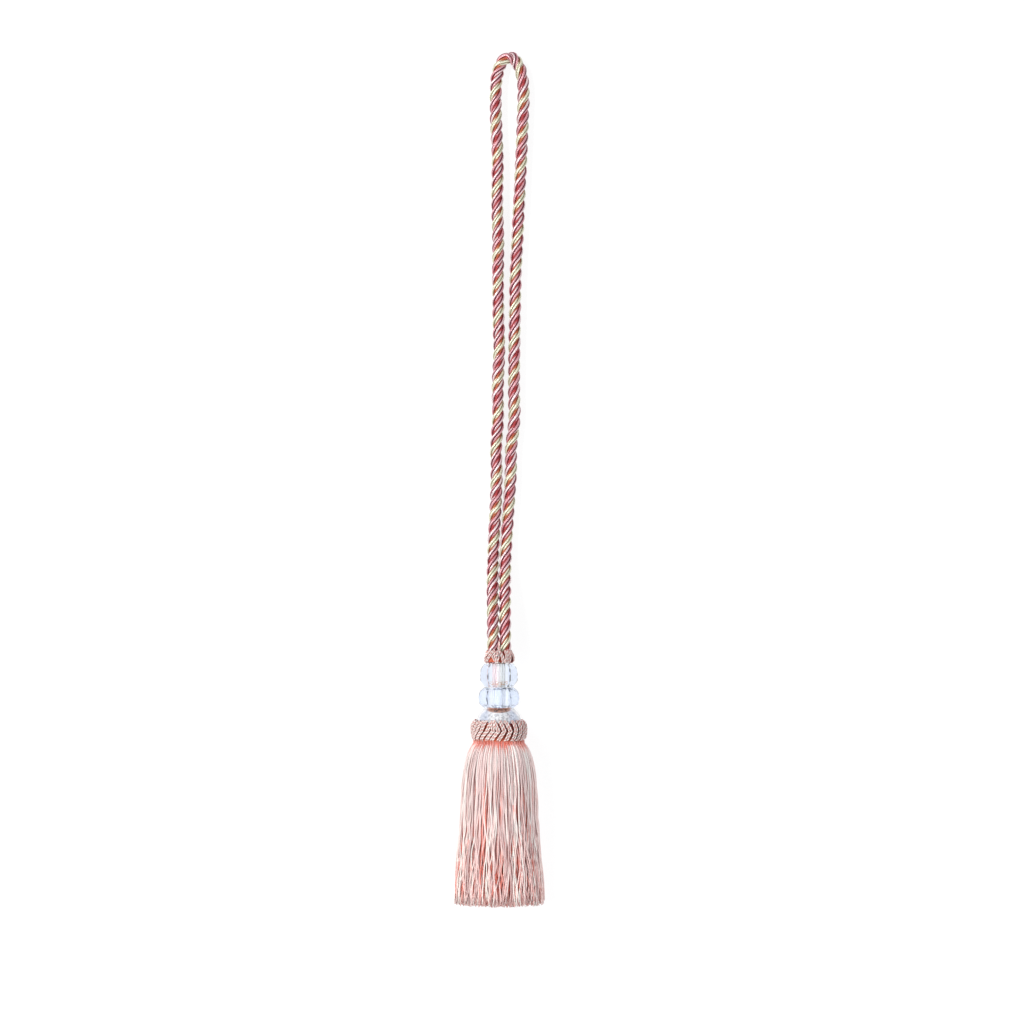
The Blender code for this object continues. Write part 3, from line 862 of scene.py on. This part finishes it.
def build_ruffs(size):
    # coral where the binding is painted lit, and maroon as its painted shade
    coral = binding_material("coral_binding_thread", size.coral, size.maroon_shade, "lit")
    centre = hairpins(
        size.loops, 110, place_in_collar, COLLAR_LEANS, spread=0.18, stand_out=0.00030, ruffle=0.15
    )
    finish = loop_material("collar_loop_thread", size, pitch=0.0005)
    looped_ring("collar_loops", centre, size.ply_radius, size.thread_lay, finish, "collar_ruff")
    wound_ring(
        "collar_binding", (0.0166, 0.0166), low=-0.0066, high=0.0056, thread=0.00042, turns=15, finish=coral
    )
    centre = hairpins(
        size.small_loops, 80, place_in_ruff, RUFF_LEANS, spread=0.20, stand_out=0.00060, ruffle=0.70
    )
    turn = np.linspace(0.0, 2.3 * math.pi, centre.shape[1])
    curl = np.stack([np.cos(turn), np.sin(turn), 0.15 * turn], axis=1) * CURL_RADIUS + CURL
    centre = np.concatenate([centre, curl[None]])
    finish = loop_material("small_loop_thread", size, pitch=0.00045)
    ply, lay = size.ply_radius * RUFF_THREAD, size.thread_lay * RUFF_THREAD
    looped_ring("top_ruff_loops", centre, ply, lay, finish, "top_ruff")
    wound_ring(
        "top_ruff_binding", (0.0083, 0.0060), low=0.0462, high=0.0536, thread=0.0004, turns=9, finish=coral
    )

    # threads that close the neck between the cord's two ends
    climb = np.linspace(0.0, 1.0, 16)
    count = len(NECK_TONES)
    angle = 2 * math.pi * (np.arange(count)[:, None] / count + 0.6 * climb)
    spread = NECK_RADIUS * (1.0 - 0.6 * climb**2)
    along = np.broadcast_to(NECK_START + NECK_LENGTH * climb, angle.shape)
    flat = np.zeros_like(along)
    heart = np.stack([flat, along, np.full_like(along, NECK_HEIGHT)], axis=-1)
    threads = heart + np.stack([spread * np.cos(angle), flat, NECK_DEPTH * spread * np.sin(angle)], axis=-1)
    mesh = tube_mesh("neck_threads", threads, 0.00055, 6, hearts=heart, tone=NECK_TONES)
    add_piece("neck_threads", mesh, finish, "ruff_thread")


# ------------------------------------------------------------
# Clear beads and bell

STONES = (
    # node, finish, setting with its facets' colour, scale and strength of its relief, clearness
    ("upper_bead", "clear_cut_stone", "pale", 260.0, 0.06, 1.0),
    ("second_bead", "hazy_cut_stone", "pale", 420.0, 0.20, 0.80),
    ("bell_bead", "crackled_bell_stone", "snow", 650.0, 0.30, 0.50),
)
# Marks painted in the stones: reflections, shade and flecks. A pair named END is how far off the middle they
# end, and how far they are full.
CORNER_REFLECTION = (0.0050, 0.0085)  # from a facet's middle to a cut corner: where the painted reflection's blue tint starts and is full
TAN_ROW = (0.0312, 0.0334)  # from and to this far up the tassel
TAN_ROW_END = (0.0066, 0.0054)
NECK_ARC = (0.0125, 0.0149)  # from and to this far up the tassel, in its middle
NECK_ARC_RISE = 22.0  # how much higher the arc's ends are, in metres for each square metre off the middle
NECK_ARC_END = (0.0092, 0.0060)
NECK_BROWN_END = (0.0070, 0.0035)
BORDER_SLANT = (0.578, 0.628)  # the smaller over the larger distance from the axis where a cut corner starts
BORDERS_START = (0.0150, 0.0170)  # up the tassel: the two beads have such borders, and the bell doesn't
FLECKS_END = (0.0115, 0.0085)
HAZE_ROUGHNESS = 0.08
FLECK_ROWS_SCALE = 20.0
FLECK_ROWS = (
    # metres up the tassel times the scale, share of small grey marks
    (0.110, 0.40),
    (0.245, 0.40),
    (0.255, 0.00),
    (0.300, 0.00),
    (0.306, 0.75),
    (0.344, 0.75),
    (0.360, 0.06),
    (0.550, 0.06),
    (0.562, 0.90),
    (0.602, 0.90),
    (0.618, 0.03),
    (0.860, 0.03),
    (0.880, 0.40),
)


def between(tree, value, low, high, soft):
    """1 where the value is between low and high, and 0 past them, with soft ends."""
    rise = eased(tree, value, low - soft, low)
    return product(tree, rise, eased(tree, value, high + soft, high))


def stone_color(tree, size, pale):
    """Pale facets, cut corners tinted with a painted reflection of the sky, and painted reflections and shade
    where threads and cut edges show in a stone.
    """
    coords = tree.nodes.new("ShaderNodeTexCoord")
    parts = tree.nodes.new("ShaderNodeSeparateXYZ")
    tree.links.new(coords.outputs["Object"], parts.inputs[0])
    along = parts.outputs[1]
    across = math_node(tree, "ABSOLUTE", parts.outputs[0])
    up = math_node(tree, "ABSOLUTE", math_node(tree, "SUBTRACT", parts.outputs[2], AXIS_HEIGHT))
    smaller = math_node(tree, "MINIMUM", across, up)
    flecks = eased(tree, object_noise(tree, 620.0, 1.0), 0.52, 0.56)
    specks = eased(tree, object_noise(tree, 1000.0, 1.0), 0.50, 0.56)
    gaps = eased(tree, object_noise(tree, 300.0, 1.0), 0.43, 0.54)
    # painted reflection: cut corners tinted bluer, as if reflecting the sky
    color = mix_color(tree, eased(tree, smaller, *CORNER_REFLECTION), pale, size.tint)

    # the row of tan marks low in the upper bead: a painted reflection of the core's threads in its lower
    # facets
    row = product(tree, between(tree, along, *TAN_ROW, 0.0004), specks, eased(tree, across, *TAN_ROW_END))
    color = mix_color(tree, row, color, size.tan)

    # the brown arc at the bell's neck, a painted reflection of the waist's thread: painted shade darkest in
    # its middle, and thinner towards its two ends
    arc = math_node(tree, "SUBTRACT", along, product(tree, across, across, NECK_ARC_RISE))
    arc = product(tree, between(tree, arc, *NECK_ARC, 0.0006), eased(tree, across, *NECK_ARC_END), 0.9)
    flecked = math_node(tree, "ADD", flecks, 0.20)
    neck_shade_mask = math_node(tree, "MULTIPLY", eased(tree, across, *NECK_BROWN_END), flecked, clamp=True)
    color = mix_color(tree, arc, color, mix_color(tree, neck_shade_mask, size.tan, size.neck))

    # rows of grey flecks, and broken lines along the wide facets' long borders, painted dark reflections of
    # the cut edges
    rows = color_ramp(tree, product(tree, along, FLECK_ROWS_SCALE), FLECK_ROWS)
    rows = product(tree, rows, flecks, eased(tree, across, *FLECKS_END))
    slant = math_node(tree, "DIVIDE", smaller, math_node(tree, "MAXIMUM", across, up))
    border = product(tree, between(tree, slant, *BORDER_SLANT, 0.02), eased(tree, along, *BORDERS_START))
    dark = math_node(tree, "MAXIMUM", product(tree, border, gaps), rows)
    return mix_color(tree, dark, color, size.edge)


def stone_material(name, size, pale, relief_scale, relief_strength, clearness):
    """A stone. A clearness under 1 leaves part of it white, as if finely crackled."""
    finish, tree, shader = new_material(name)
    shader.inputs["Transmission Weight"].default_value = clearness
    shader.inputs["IOR"].default_value = 1.49
    tree.links.new(stone_color(tree, size, pale), shader.inputs["Base Color"])
    haze = object_noise(tree, relief_scale, 3.0)
    tree.links.new(product(tree, eased(tree, haze, 0.45, 0.8), HAZE_ROUGHNESS), shader.inputs["Roughness"])
    relief = tree.nodes.new("ShaderNodeBump")
    relief.inputs["Strength"].default_value = relief_strength
    relief.inputs["Distance"].default_value = 0.0004
    tree.links.new(haze, relief.inputs["Height"])
    tree.links.new(relief.outputs[0], shader.inputs["Normal"])
    clear = tree.nodes.new("ShaderNodeBsdfTransparent")
    clear.inputs["Color"].default_value = (0.975, 0.98, 0.99, 1.0)
    rays = tree.nodes.new("ShaderNodeLightPath")
    blend = tree.nodes.new("ShaderNodeMixShader")
    tree.links.new(rays.outputs["Is Shadow Ray"], blend.inputs[0])
    tree.links.new(shader.outputs[0], blend.inputs[1])
    tree.links.new(clear.outputs[0], blend.inputs[2])
    tree.links.new(blend.outputs[0], tree.nodes["Material Output"].inputs["Surface"])
    return finish


def faces_axis(face):
    """True for a wall of the bore or the recess, which looks at the tassel's middle line."""
    middle = face.calc_center_median()
    out = Vector((middle.x, 0.0, middle.z - AXIS_HEIGHT))
    return abs(face.normal.y) < 0.5 and face.normal.dot(out) < 0.0


def build_stones(size):
    for node, name, middle, relief_scale, relief_strength, clearness in STONES:
        finish = stone_material(name, size, getattr(size, middle), relief_scale, relief_strength, clearness)
        bm = bmesh.new()
        bm.from_mesh(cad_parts[node].data)
        bmesh.ops.remove_doubles(bm, verts=bm.verts, dist=0.000002)
        bmesh.ops.dissolve_limit(bm, angle_limit=math.radians(0.8), verts=bm.verts, edges=bm.edges)
        edges = [
            edge for edge in bm.edges
            if len(edge.link_faces) == 2
            and edge.calc_face_angle() > math.radians(4.0)
            and not all(faces_axis(face) for face in edge.link_faces)
        ]
        bmesh.ops.bevel(
            bm, geom=edges, offset=size.bevel, affect="EDGES", segments=2, profile=0.5, material=-1
        )
        bmesh.ops.recalc_face_normals(bm, faces=bm.faces)
        for face in bm.faces:
            face.smooth = faces_axis(face)
        mesh = bpy.data.meshes.new(f"{node}_cut")
        bm.to_mesh(mesh)
        bm.free()
        add_piece(f"{node}_cut", mesh, finish, "clear_stone", node)


# ------------------------------------------------------------
# Core threads and their terracotta waist

CORE_START = 0.0060  # along the tassel
CORE_END = 0.0455
CORE_THREAD = 0.00050
CORE_RINGS = (
    # radius, threads
    (0.00388, 26),
    (0.00295, 20),
    (0.00200, 13),
    (0.00105, 7),
)
CORE_TWIST = 9.0  # how far the threads turn for each metre, in radians
IVORY_END = (0.0290, 0.0300)  # along the tassel, where the ivory threads give way to rose and cream
WAIST_TURNS = 11
WAIST_THREAD = 0.00046
WAIST_RADII = (
    (0.0, 0.36, 0.64, 1.0),  # share of the winding
    (0.0044, 0.00745, 0.00745, 0.0044),  # radius there
)
WAIST_PLACES = (
    (0.0, 0.30, 0.36, 0.64, 0.70, 1.0),  # share of the winding
    (0.0150, 0.0149, 0.0146, 0.0125, 0.0123, 0.0122),  # place along the tassel there
)


def core_material(size):
    finish, tree, shader, wrap = thread_material(
        "core_bundle_thread", pitch=0.0009, starts=2.0, bump=0.4, roughness=0.5
    )
    color = mix_color(tree, attribute(tree, "tone"), size.rose, size.cream)
    color = mix_color(tree, attribute(tree, "pale"), color, size.ivory)
    # painted shade in the hollows between the wrap's turns
    color = darkened(tree, color, wrap.outputs["Ridge"], 0.2)
    tree.links.new(darkened(tree, color, wrap.outputs["Streak"], 0.3), shader.inputs["Base Color"])
    return finish


def build_core(size):
    lines = []
    tone = []
    along = np.linspace(CORE_START, CORE_END, 24)
    for radius, count in CORE_RINGS:
        for thread in range(count):
            angle = 2 * math.pi * thread / count + along * CORE_TWIST
            lines.append(np.stack([
                radius * np.cos(angle), along, AXIS_HEIGHT + radius * np.sin(angle)
            ], axis=1))
            across = math.cos(2 * math.pi * thread / count)
            tone.append(min(max(0.5 + across * 0.9 + 0.25 * math.sin(thread * 2.4), 0.0), 1.0))
    pale = np.tile(np.interp(along, IVORY_END, (1.0, 0.0)), (len(lines), 1))
    mesh = tube_mesh("core_bundle", np.array(lines), CORE_THREAD, 8, tone=tone, pale=pale)
    add_piece("core_bundle", mesh, core_material(size), "core_thread", "bead_core")

    # a spiral out across the waist's top, three turns down its wall, and a spiral back in below
    angle = np.linspace(0.0, 2 * math.pi * WAIST_TURNS, 40 * WAIST_TURNS)
    share = angle / angle[-1]
    radius = np.interp(share, *WAIST_RADII)
    along = np.interp(share, *WAIST_PLACES)
    # painted light at the waist's two sides, and painted shade where its thread passes over the top and under
    # the bottom
    finish = binding_material("terracotta_waist_thread", size.waist, size.waist_shade, "lit")
    wound_thread(
        "waist_winding", angle, (radius, radius), along, WAIST_THREAD, 8, finish, "core_thread",
        lit=np.cos(angle)[None] ** 2,
    )


# ------------------------------------------------------------
# Skirt

SKIRT_TOP = -0.0093  # along the tassel
SKIRT_LAYERS = (
    # piece, from and to this share of the skirt's half width, sides of a thread, every so many stations
    ("skirt_threads", 0.84, 1.00, 5, 1),
    ("skirt_under_threads", 0.69, 0.84, 5, 1),
    ("skirt_inner_threads", 0.00, 0.69, 4, 2),
)
SKIRT_ROOT_RADIUS = 0.0172
SKIRT_FULLNESS = 2.5  # power of the curve over its top: 2 is an oval, and more is fuller
SKIRT_EDGE_START = 0.6  # share of the half width past which its underside lifts
SKIRT_EDGE_LIFT = 0.0035
SKIRT_HALF_WIDTH = 0.028  # towards its end
SKIRT_ROOT_POINTS = (-0.0030, -0.0008, 0.0010, 0.0032, 0.0060, 0.0100, 0.0160)  # down the skirt
SKIRT_POINTS = (0.022, 0.1107, 17)  # from and to this far down the skirt, this many points
SKIRT_FLARE = (-0.02, 0.035)  # how far the outermost tips reach past its outline, as a share
LOCKS = 66
LOCK_DRIFT = 0.03  # how far a lock's tips lie off its root, as a share of the skirt's half width
THREAD_BENDS = (0.8, 2.4)  # fewest and most in a thread's length
THREAD_TAPER = (
    (0.0, 0.5, 0.9, 1.0),  # share of the thread's length
    (1.0, 1.12, 1.12, 0.8),  # share of its radius there
)
TIP_START = 0.02  # how far down the skirt the threads' lengths start to differ
TIP_SHORT = (0.010, 0.062)  # least and most that a tip is cut short, as a share of the length past there
ROOT_LENGTH = 0.0016  # shortest coral root
ROOT_LONGER = 0.0075  # how much longer the longest is
CORAL_DEPTH = (0.055, 0.130)  # share of the way in from the outside where coral starts and where it is full
HEAD_TURNS = 16
HEAD_RADII = (0.0008, 0.0149)
HEAD_TOP = 0.0049  # along the tassel
HEAD_THREAD = 0.00047
HEAD_COLORS = ((0.93, 0.93, 0.94), (0.80, 0.80, 0.84))
SKIRT_STATIONS = (
    # down the skirt, half width, height of its top, share settled from round to flat underneath
    (-0.0010, 0.0172, 0.0352, 0.00),
    (0.0005, 0.0185, 0.0357, 0.06),
    (0.0020, 0.0198, 0.0364, 0.15),
    (0.0050, 0.0213, 0.0373, 0.32),
    (0.0085, 0.0226, 0.0379, 0.50),
    (0.0150, 0.0240, 0.0381, 0.72),
    (0.0250, 0.0252, 0.0379, 0.90),
    (0.0420, 0.0262, 0.0362, 0.98),
    (0.0620, 0.0272, 0.0338, 1.00),
    (0.0850, 0.0288, 0.0304, 1.00),
    (0.1107, 0.0306, 0.0268, 1.00),
)


def skirt_points(across, up, down):
    """Where points of the round root, within a circle of radius 1, lie this far down the skirt."""
    table = np.array(SKIRT_STATIONS)
    half_width, top, settled = (np.interp(down, table[:, 0], table[:, k]) for k in (1, 2, 3))
    rim = np.sqrt(np.clip(1.0 - across**2, 1e-6, 1.0))
    crown = np.sqrt(np.clip(1.0 - np.abs(across) ** SKIRT_FULLNESS, 0.0, 1.0))
    edge = np.clip(np.abs(across) - SKIRT_EDGE_START, 0.0, None) / (1.0 - SKIRT_EDGE_START)
    round_bottom = AXIS_HEIGHT - SKIRT_ROOT_RADIUS * rim
    flat_bottom = SKIRT_EDGE_LIFT * edge**2
    round_top = AXIS_HEIGHT + (top - AXIS_HEIGHT) * rim
    flat_top = flat_bottom + (top - flat_bottom) * crown
    bottom = round_bottom + (flat_bottom - round_bottom) * settled
    height = round_top + (flat_top - round_top) * settled - bottom
    rise = np.clip((up / rim + 1.0) / 2.0, 0.0, 1.0)
    return np.stack([half_width * across, SKIRT_TOP - down, bottom + height * rise], axis=-1)


def skirt_material(size):
    finish, tree, shader, wrap = thread_material(
        "silky_skirt_thread", pitch=0.0013, starts=2.0, bump=0.35, roughness=0.30
    )
    tone = attribute(tree, "tone")
    stops = (
        (0.00, size.mauve),
        (0.24, size.mauve),
        (0.36, size.blush),
        (0.62, size.blush),
        (0.78, size.ivory),
        (1.00, size.ivory),
    )
    streaked = math_node(tree, "ADD", tone, product(tree, wrap.outputs["Streak"], 0.3))
    threads = color_ramp(tree, math_node(tree, "SUBTRACT", streaked, 0.15, clamp=True), stops)
    from_tip = attribute(tree, "from_tip")
    color = mix_color(tree, product(tree, from_tip, 0.45), threads, size.silver)
    # coral deep inside, and less of it near the tips
    deep = eased(tree, attribute(tree, "inside"), *CORAL_DEPTH)
    kept = math_node(tree, "ADD", product(tree, eased(tree, from_tip, 0.0, 0.12), 0.5), 0.4)
    color = mix_color(tree, product(tree, deep, kept), color, size.coral)
    color = mix_color(tree, attribute(tree, "root"), color, size.coral)
    # painted shade in the hollows between the wrap's turns
    tree.links.new(darkened(tree, color, wrap.outputs["Ridge"], 0.15), shader.inputs["Base Color"])
    shader.inputs["Specular IOR Level"].default_value = 0.8
    return finish


def build_skirt(size):
    chance = np.random.default_rng(23)
    count = size.threads
    down = np.concatenate([SKIRT_ROOT_POINTS, np.linspace(*SKIRT_POINTS)])
    golden = math.pi * (3.0 - math.sqrt(5.0))
    index = np.arange(count) + 0.5
    spread = np.sqrt(index / count) * 0.985
    angle = index * golden
    across = spread * np.cos(angle)
    up = spread * np.sin(angle)

    lock_index = np.arange(LOCKS) + 0.5
    lock_spread = np.sqrt(lock_index / LOCKS)
    lock_angle = lock_index * golden + chance.uniform(-0.3, 0.3, LOCKS)
    lock_across = lock_spread * np.cos(lock_angle)
    lock_up = lock_spread * np.sin(lock_angle)
    nearest = np.argmin((across[:, None] - lock_across) ** 2 + (up[:, None] - lock_up) ** 2, axis=1)
    lock_drift = chance.uniform(-1.0, 1.0, (LOCKS, 2)) * LOCK_DRIFT

    share = np.clip(down, 0.0, None) / down[-1]
    gather = size.gather * share**1.3
    stray = size.wander / SKIRT_HALF_WIDTH * share**0.9
    waves = chance.uniform(0.0, 2 * math.pi, (2, 2, count))
    bends = chance.uniform(*THREAD_BENDS, (2, 2, count))

    def wave(axis):
        made = 0.0
        for part, weight in ((0, 0.65), (1, 0.35)):
            turn = bends[axis, part][:, None] * (1 + part) * share * 2 * math.pi + waves[axis, part][:, None]
            made = made + weight * (np.sin(turn) - np.sin(waves[axis, part])[:, None])
        return made

    moved = []
    for axis, (place, goal) in enumerate(((across, lock_across), (up, lock_up))):
        drawn = place[:, None] + (goal[nearest] - place)[:, None] * gather
        moved.append(drawn + wave(axis) * stray + lock_drift[nearest, axis][:, None] * share)
    reach = np.sqrt(moved[0] ** 2 + moved[1] ** 2)
    furthest = 1.0 + share * chance.uniform(*SKIRT_FLARE, count)[:, None]
    limit = np.where(reach > furthest, furthest / reach, 1.0)
    length = 1.0 - chance.uniform(*TIP_SHORT, count)
    run = np.where(down > TIP_START, TIP_START + (down - TIP_START) * length[:, None], down)
    lines = skirt_points(moved[0] * limit, moved[1] * limit, run)
    lines[:, :, 2] = np.maximum(lines[:, :, 2], size.thread_radius)

    taper = np.interp(share, *THREAD_TAPER)
    radius = size.thread_radius * taper * chance.uniform(0.85, 1.15, count)[:, None]
    root_length = ROOT_LENGTH + ROOT_LONGER * chance.uniform(0.0, 1.0, count) ** 2.5
    root = np.clip(1.6 - 1.6 * (down[None, :] + 0.0010) / root_length[:, None], 0.0, 1.0)
    root = root * chance.uniform(0.6, 1.0, count)[:, None]
    tone = chance.uniform(0.0, 1.0, count)
    inside = np.broadcast_to((1.0 - spread)[:, None], root.shape)
    from_tip = np.broadcast_to(1.0 - share, root.shape)
    finish = skirt_material(size)
    for name, low, high, sides, every in SKIRT_LAYERS:
        part = (spread > low) & (spread <= high)
        points = slice(every - 1, None, every)
        mesh = tube_mesh(
            name,
            lines[part, points],
            radius[part, points],
            sides,
            tone=tone[part],
            inside=inside[part, points],
            root=root[part, points],
            from_tip=from_tip[part, points],
        )
        nodes = ["thread_skirt"] if name == "skirt_threads" else []
        add_piece(name, mesh, finish, "skirt_thread", *nodes)

    # the wound top of the head, a flat spiral under the bell
    angle = np.linspace(0.0, 2 * math.pi * HEAD_TURNS, 56 * HEAD_TURNS)
    radius = np.linspace(*HEAD_RADII, len(angle))
    finish = binding_material("ivory_head_thread", *HEAD_COLORS)
    wound_thread("head_winding", angle, (radius, radius), HEAD_TOP, HEAD_THREAD, 6, finish, "skirt_thread")


# ------------------------------------------------------------
# Stage

LIGHTS = (
    # name, place, what it points at, its length and width, colour
    ("key", (-1.2, 0.50, 1.5), (0.0, 0.30, 0.0), 2.2, 0.3, (1.0, 0.985, 0.97)),
    ("fill", (1.1, -0.5, 1.4), (0.0, 0.12, 0.0), 1.6, 1.2, (0.96, 0.98, 1.0)),
)
FLOOR_GLOW = 0.84  # keeps the floor white where the tassel's soft shadow falls
SKY_LOW = (0.22, 0.25, 0.32)  # the world's colour at the horizon
SKY_HIGH = (0.96, 0.97, 1.0)
SENSOR_WIDTH = 36.0


def area_light(name, place, target, length, width, power, color):
    """A soft light, longest along the tassel."""
    lamp = bpy.data.lights.new(name, "AREA")
    lamp.shape = "RECTANGLE"
    lamp.size = length
    lamp.size_y = width
    lamp.energy = power
    lamp.color = color
    obj = new_object(name, lamp)
    obj.location = place
    obj.rotation_euler = (Vector(target) - Vector(place)).to_track_quat("-Z", "Y").to_euler()


def build_camera(size):
    camera = bpy.data.cameras.new("camera")
    camera.sensor_width = SENSOR_WIDTH
    camera.lens = SENSOR_WIDTH * (size.camera_z - AXIS_HEIGHT / 2) / size.view_width
    camera.clip_end = 20.0
    obj = new_object("camera", camera)
    obj.location = (size.camera_x, size.camera_y, size.camera_z)
    bpy.context.scene.camera = obj


def build_stage(size):
    bm = bmesh.new()
    bmesh.ops.create_grid(bm, x_segments=1, y_segments=1, size=6.0)
    mesh = bpy.data.meshes.new("floor")
    bm.to_mesh(mesh)
    bm.free()
    floor = new_object("floor", mesh)
    floor.location = (0.0, 0.15, -0.0003)
    paint, _, shader = new_material("pale_floor")
    shader.inputs["Base Color"].default_value = (0.20, 0.20, 0.20, 1.0)
    shader.inputs["Roughness"].default_value = 0.9
    shader.inputs["Specular IOR Level"].default_value = 0.1
    shader.inputs["Emission Color"].default_value = (1.0, 1.0, 1.0, 1.0)
    shader.inputs["Emission Strength"].default_value = FLOOR_GLOW
    mesh.materials.append(paint)
    for name, place, target, length, width, color in LIGHTS:
        area_light(name, place, target, length, width, getattr(size, f"{name}_power"), color)
    world = bpy.data.worlds.new("studio")
    world.use_nodes = True
    tree = world.node_tree
    coords = tree.nodes.new("ShaderNodeTexCoord")
    parts = tree.nodes.new("ShaderNodeSeparateXYZ")
    tree.links.new(coords.outputs["Generated"], parts.inputs[0])
    sky = mix_color(tree, eased(tree, parts.outputs[2], 0.0, 0.5), SKY_LOW, SKY_HIGH)
    background = tree.nodes["Background"]
    tree.links.new(sky, background.inputs["Color"])
    background.inputs["Strength"].default_value = 0.5
    bpy.context.scene.world = world
    bpy.context.scene.view_settings.view_transform = "Standard"


# ------------------------------------------------------------
# Operators and panel


class TASSEL_OT_camera(bpy.types.Operator):
    """Make the camera that looks straight down on the tassel"""

    bl_idname = "tassel.camera"
    bl_label = "Camera"

    def execute(self, context):
        build_camera(context.scene.tassel_stage)
        return {"FINISHED"}


class TASSEL_OT_cord(bpy.types.Operator):
    """Make the twisted cord from its three plies"""

    bl_idname = "tassel.cord"
    bl_label = "Twisted cord"

    def execute(self, context):
        build_cord(context.scene.tassel_cord)
        return {"FINISHED"}


class TASSEL_OT_ruffs(bpy.types.Operator):
    """Make the looped collar and the small looped ruff, each over its coral binding"""

    bl_idname = "tassel.ruffs"
    bl_label = "Collar and ruff"

    def execute(self, context):
        build_ruffs(context.scene.tassel_ruffs)
        return {"FINISHED"}


class TASSEL_OT_stones(bpy.types.Operator):
    """Make the two clear beads and the bell, with polished edges"""

    bl_idname = "tassel.stones"
    bl_label = "Clear beads and bell"

    def execute(self, context):
        build_stones(context.scene.tassel_stones)
        return {"FINISHED"}


class TASSEL_OT_core(bpy.types.Operator):
    """Make the bundle of core threads and its wound waist"""

    bl_idname = "tassel.core"
    bl_label = "Core threads"

    def execute(self, context):
        build_core(context.scene.tassel_core)
        return {"FINISHED"}


class TASSEL_OT_skirt(bpy.types.Operator):
    """Make the skirt of cut threads and the wound top of its head"""

    bl_idname = "tassel.skirt"
    bl_label = "Thread skirt"

    def execute(self, context):
        build_skirt(context.scene.tassel_skirt)
        return {"FINISHED"}


class TASSEL_OT_stage(bpy.types.Operator):
    """Make the pale floor and the soft lights"""

    bl_idname = "tassel.stage"
    bl_label = "Floor and lights"

    def execute(self, context):
        build_stage(context.scene.tassel_stage)
        return {"FINISHED"}


class TASSEL_PT_panel(bpy.types.Panel):
    """The tassel's pieces, in the order in which they are made"""

    bl_idname = "TASSEL_PT_panel"
    bl_label = "Curtain tieback tassel"
    bl_space_type = "VIEW_3D"
    bl_region_type = "UI"
    bl_category = "Tassel"

    def draw(self, context):
        for operator in OPERATORS:
            self.layout.operator(operator.bl_idname)
        for name, _ in SETTINGS:
            settings = getattr(context.scene, name)
            box = self.layout.box()
            for label in settings.__annotations__:
                box.prop(settings, label)


SETTINGS = (
    ("tassel_cord", CordSettings),
    ("tassel_ruffs", RuffSettings),
    ("tassel_stones", StoneSettings),
    ("tassel_core", CoreSettings),
    ("tassel_skirt", SkirtSettings),
    ("tassel_stage", StageSettings),
)
OPERATORS = (
    TASSEL_OT_camera,
    TASSEL_OT_cord,
    TASSEL_OT_ruffs,
    TASSEL_OT_stones,
    TASSEL_OT_core,
    TASSEL_OT_skirt,
    TASSEL_OT_stage,
)


def register():
    for name, settings in SETTINGS:
        bpy.utils.register_class(settings)
        setattr(bpy.types.Scene, name, PointerProperty(type=settings))
    for made in (*OPERATORS, TASSEL_PT_panel):
        bpy.utils.register_class(made)


def unregister():
    for made in (TASSEL_PT_panel, *reversed(OPERATORS)):
        bpy.utils.unregister_class(made)
    for name, settings in reversed(SETTINGS):
        delattr(bpy.types.Scene, name)
        bpy.utils.unregister_class(settings)


def main():
    register()
    bpy.ops.tassel.camera()
    bpy.ops.tassel.cord()
    bpy.ops.tassel.ruffs()
    bpy.ops.tassel.stones()
    bpy.ops.tassel.core()
    bpy.ops.tassel.skirt()
    bpy.ops.tassel.stage()


if __name__ == "__main__":
    main()
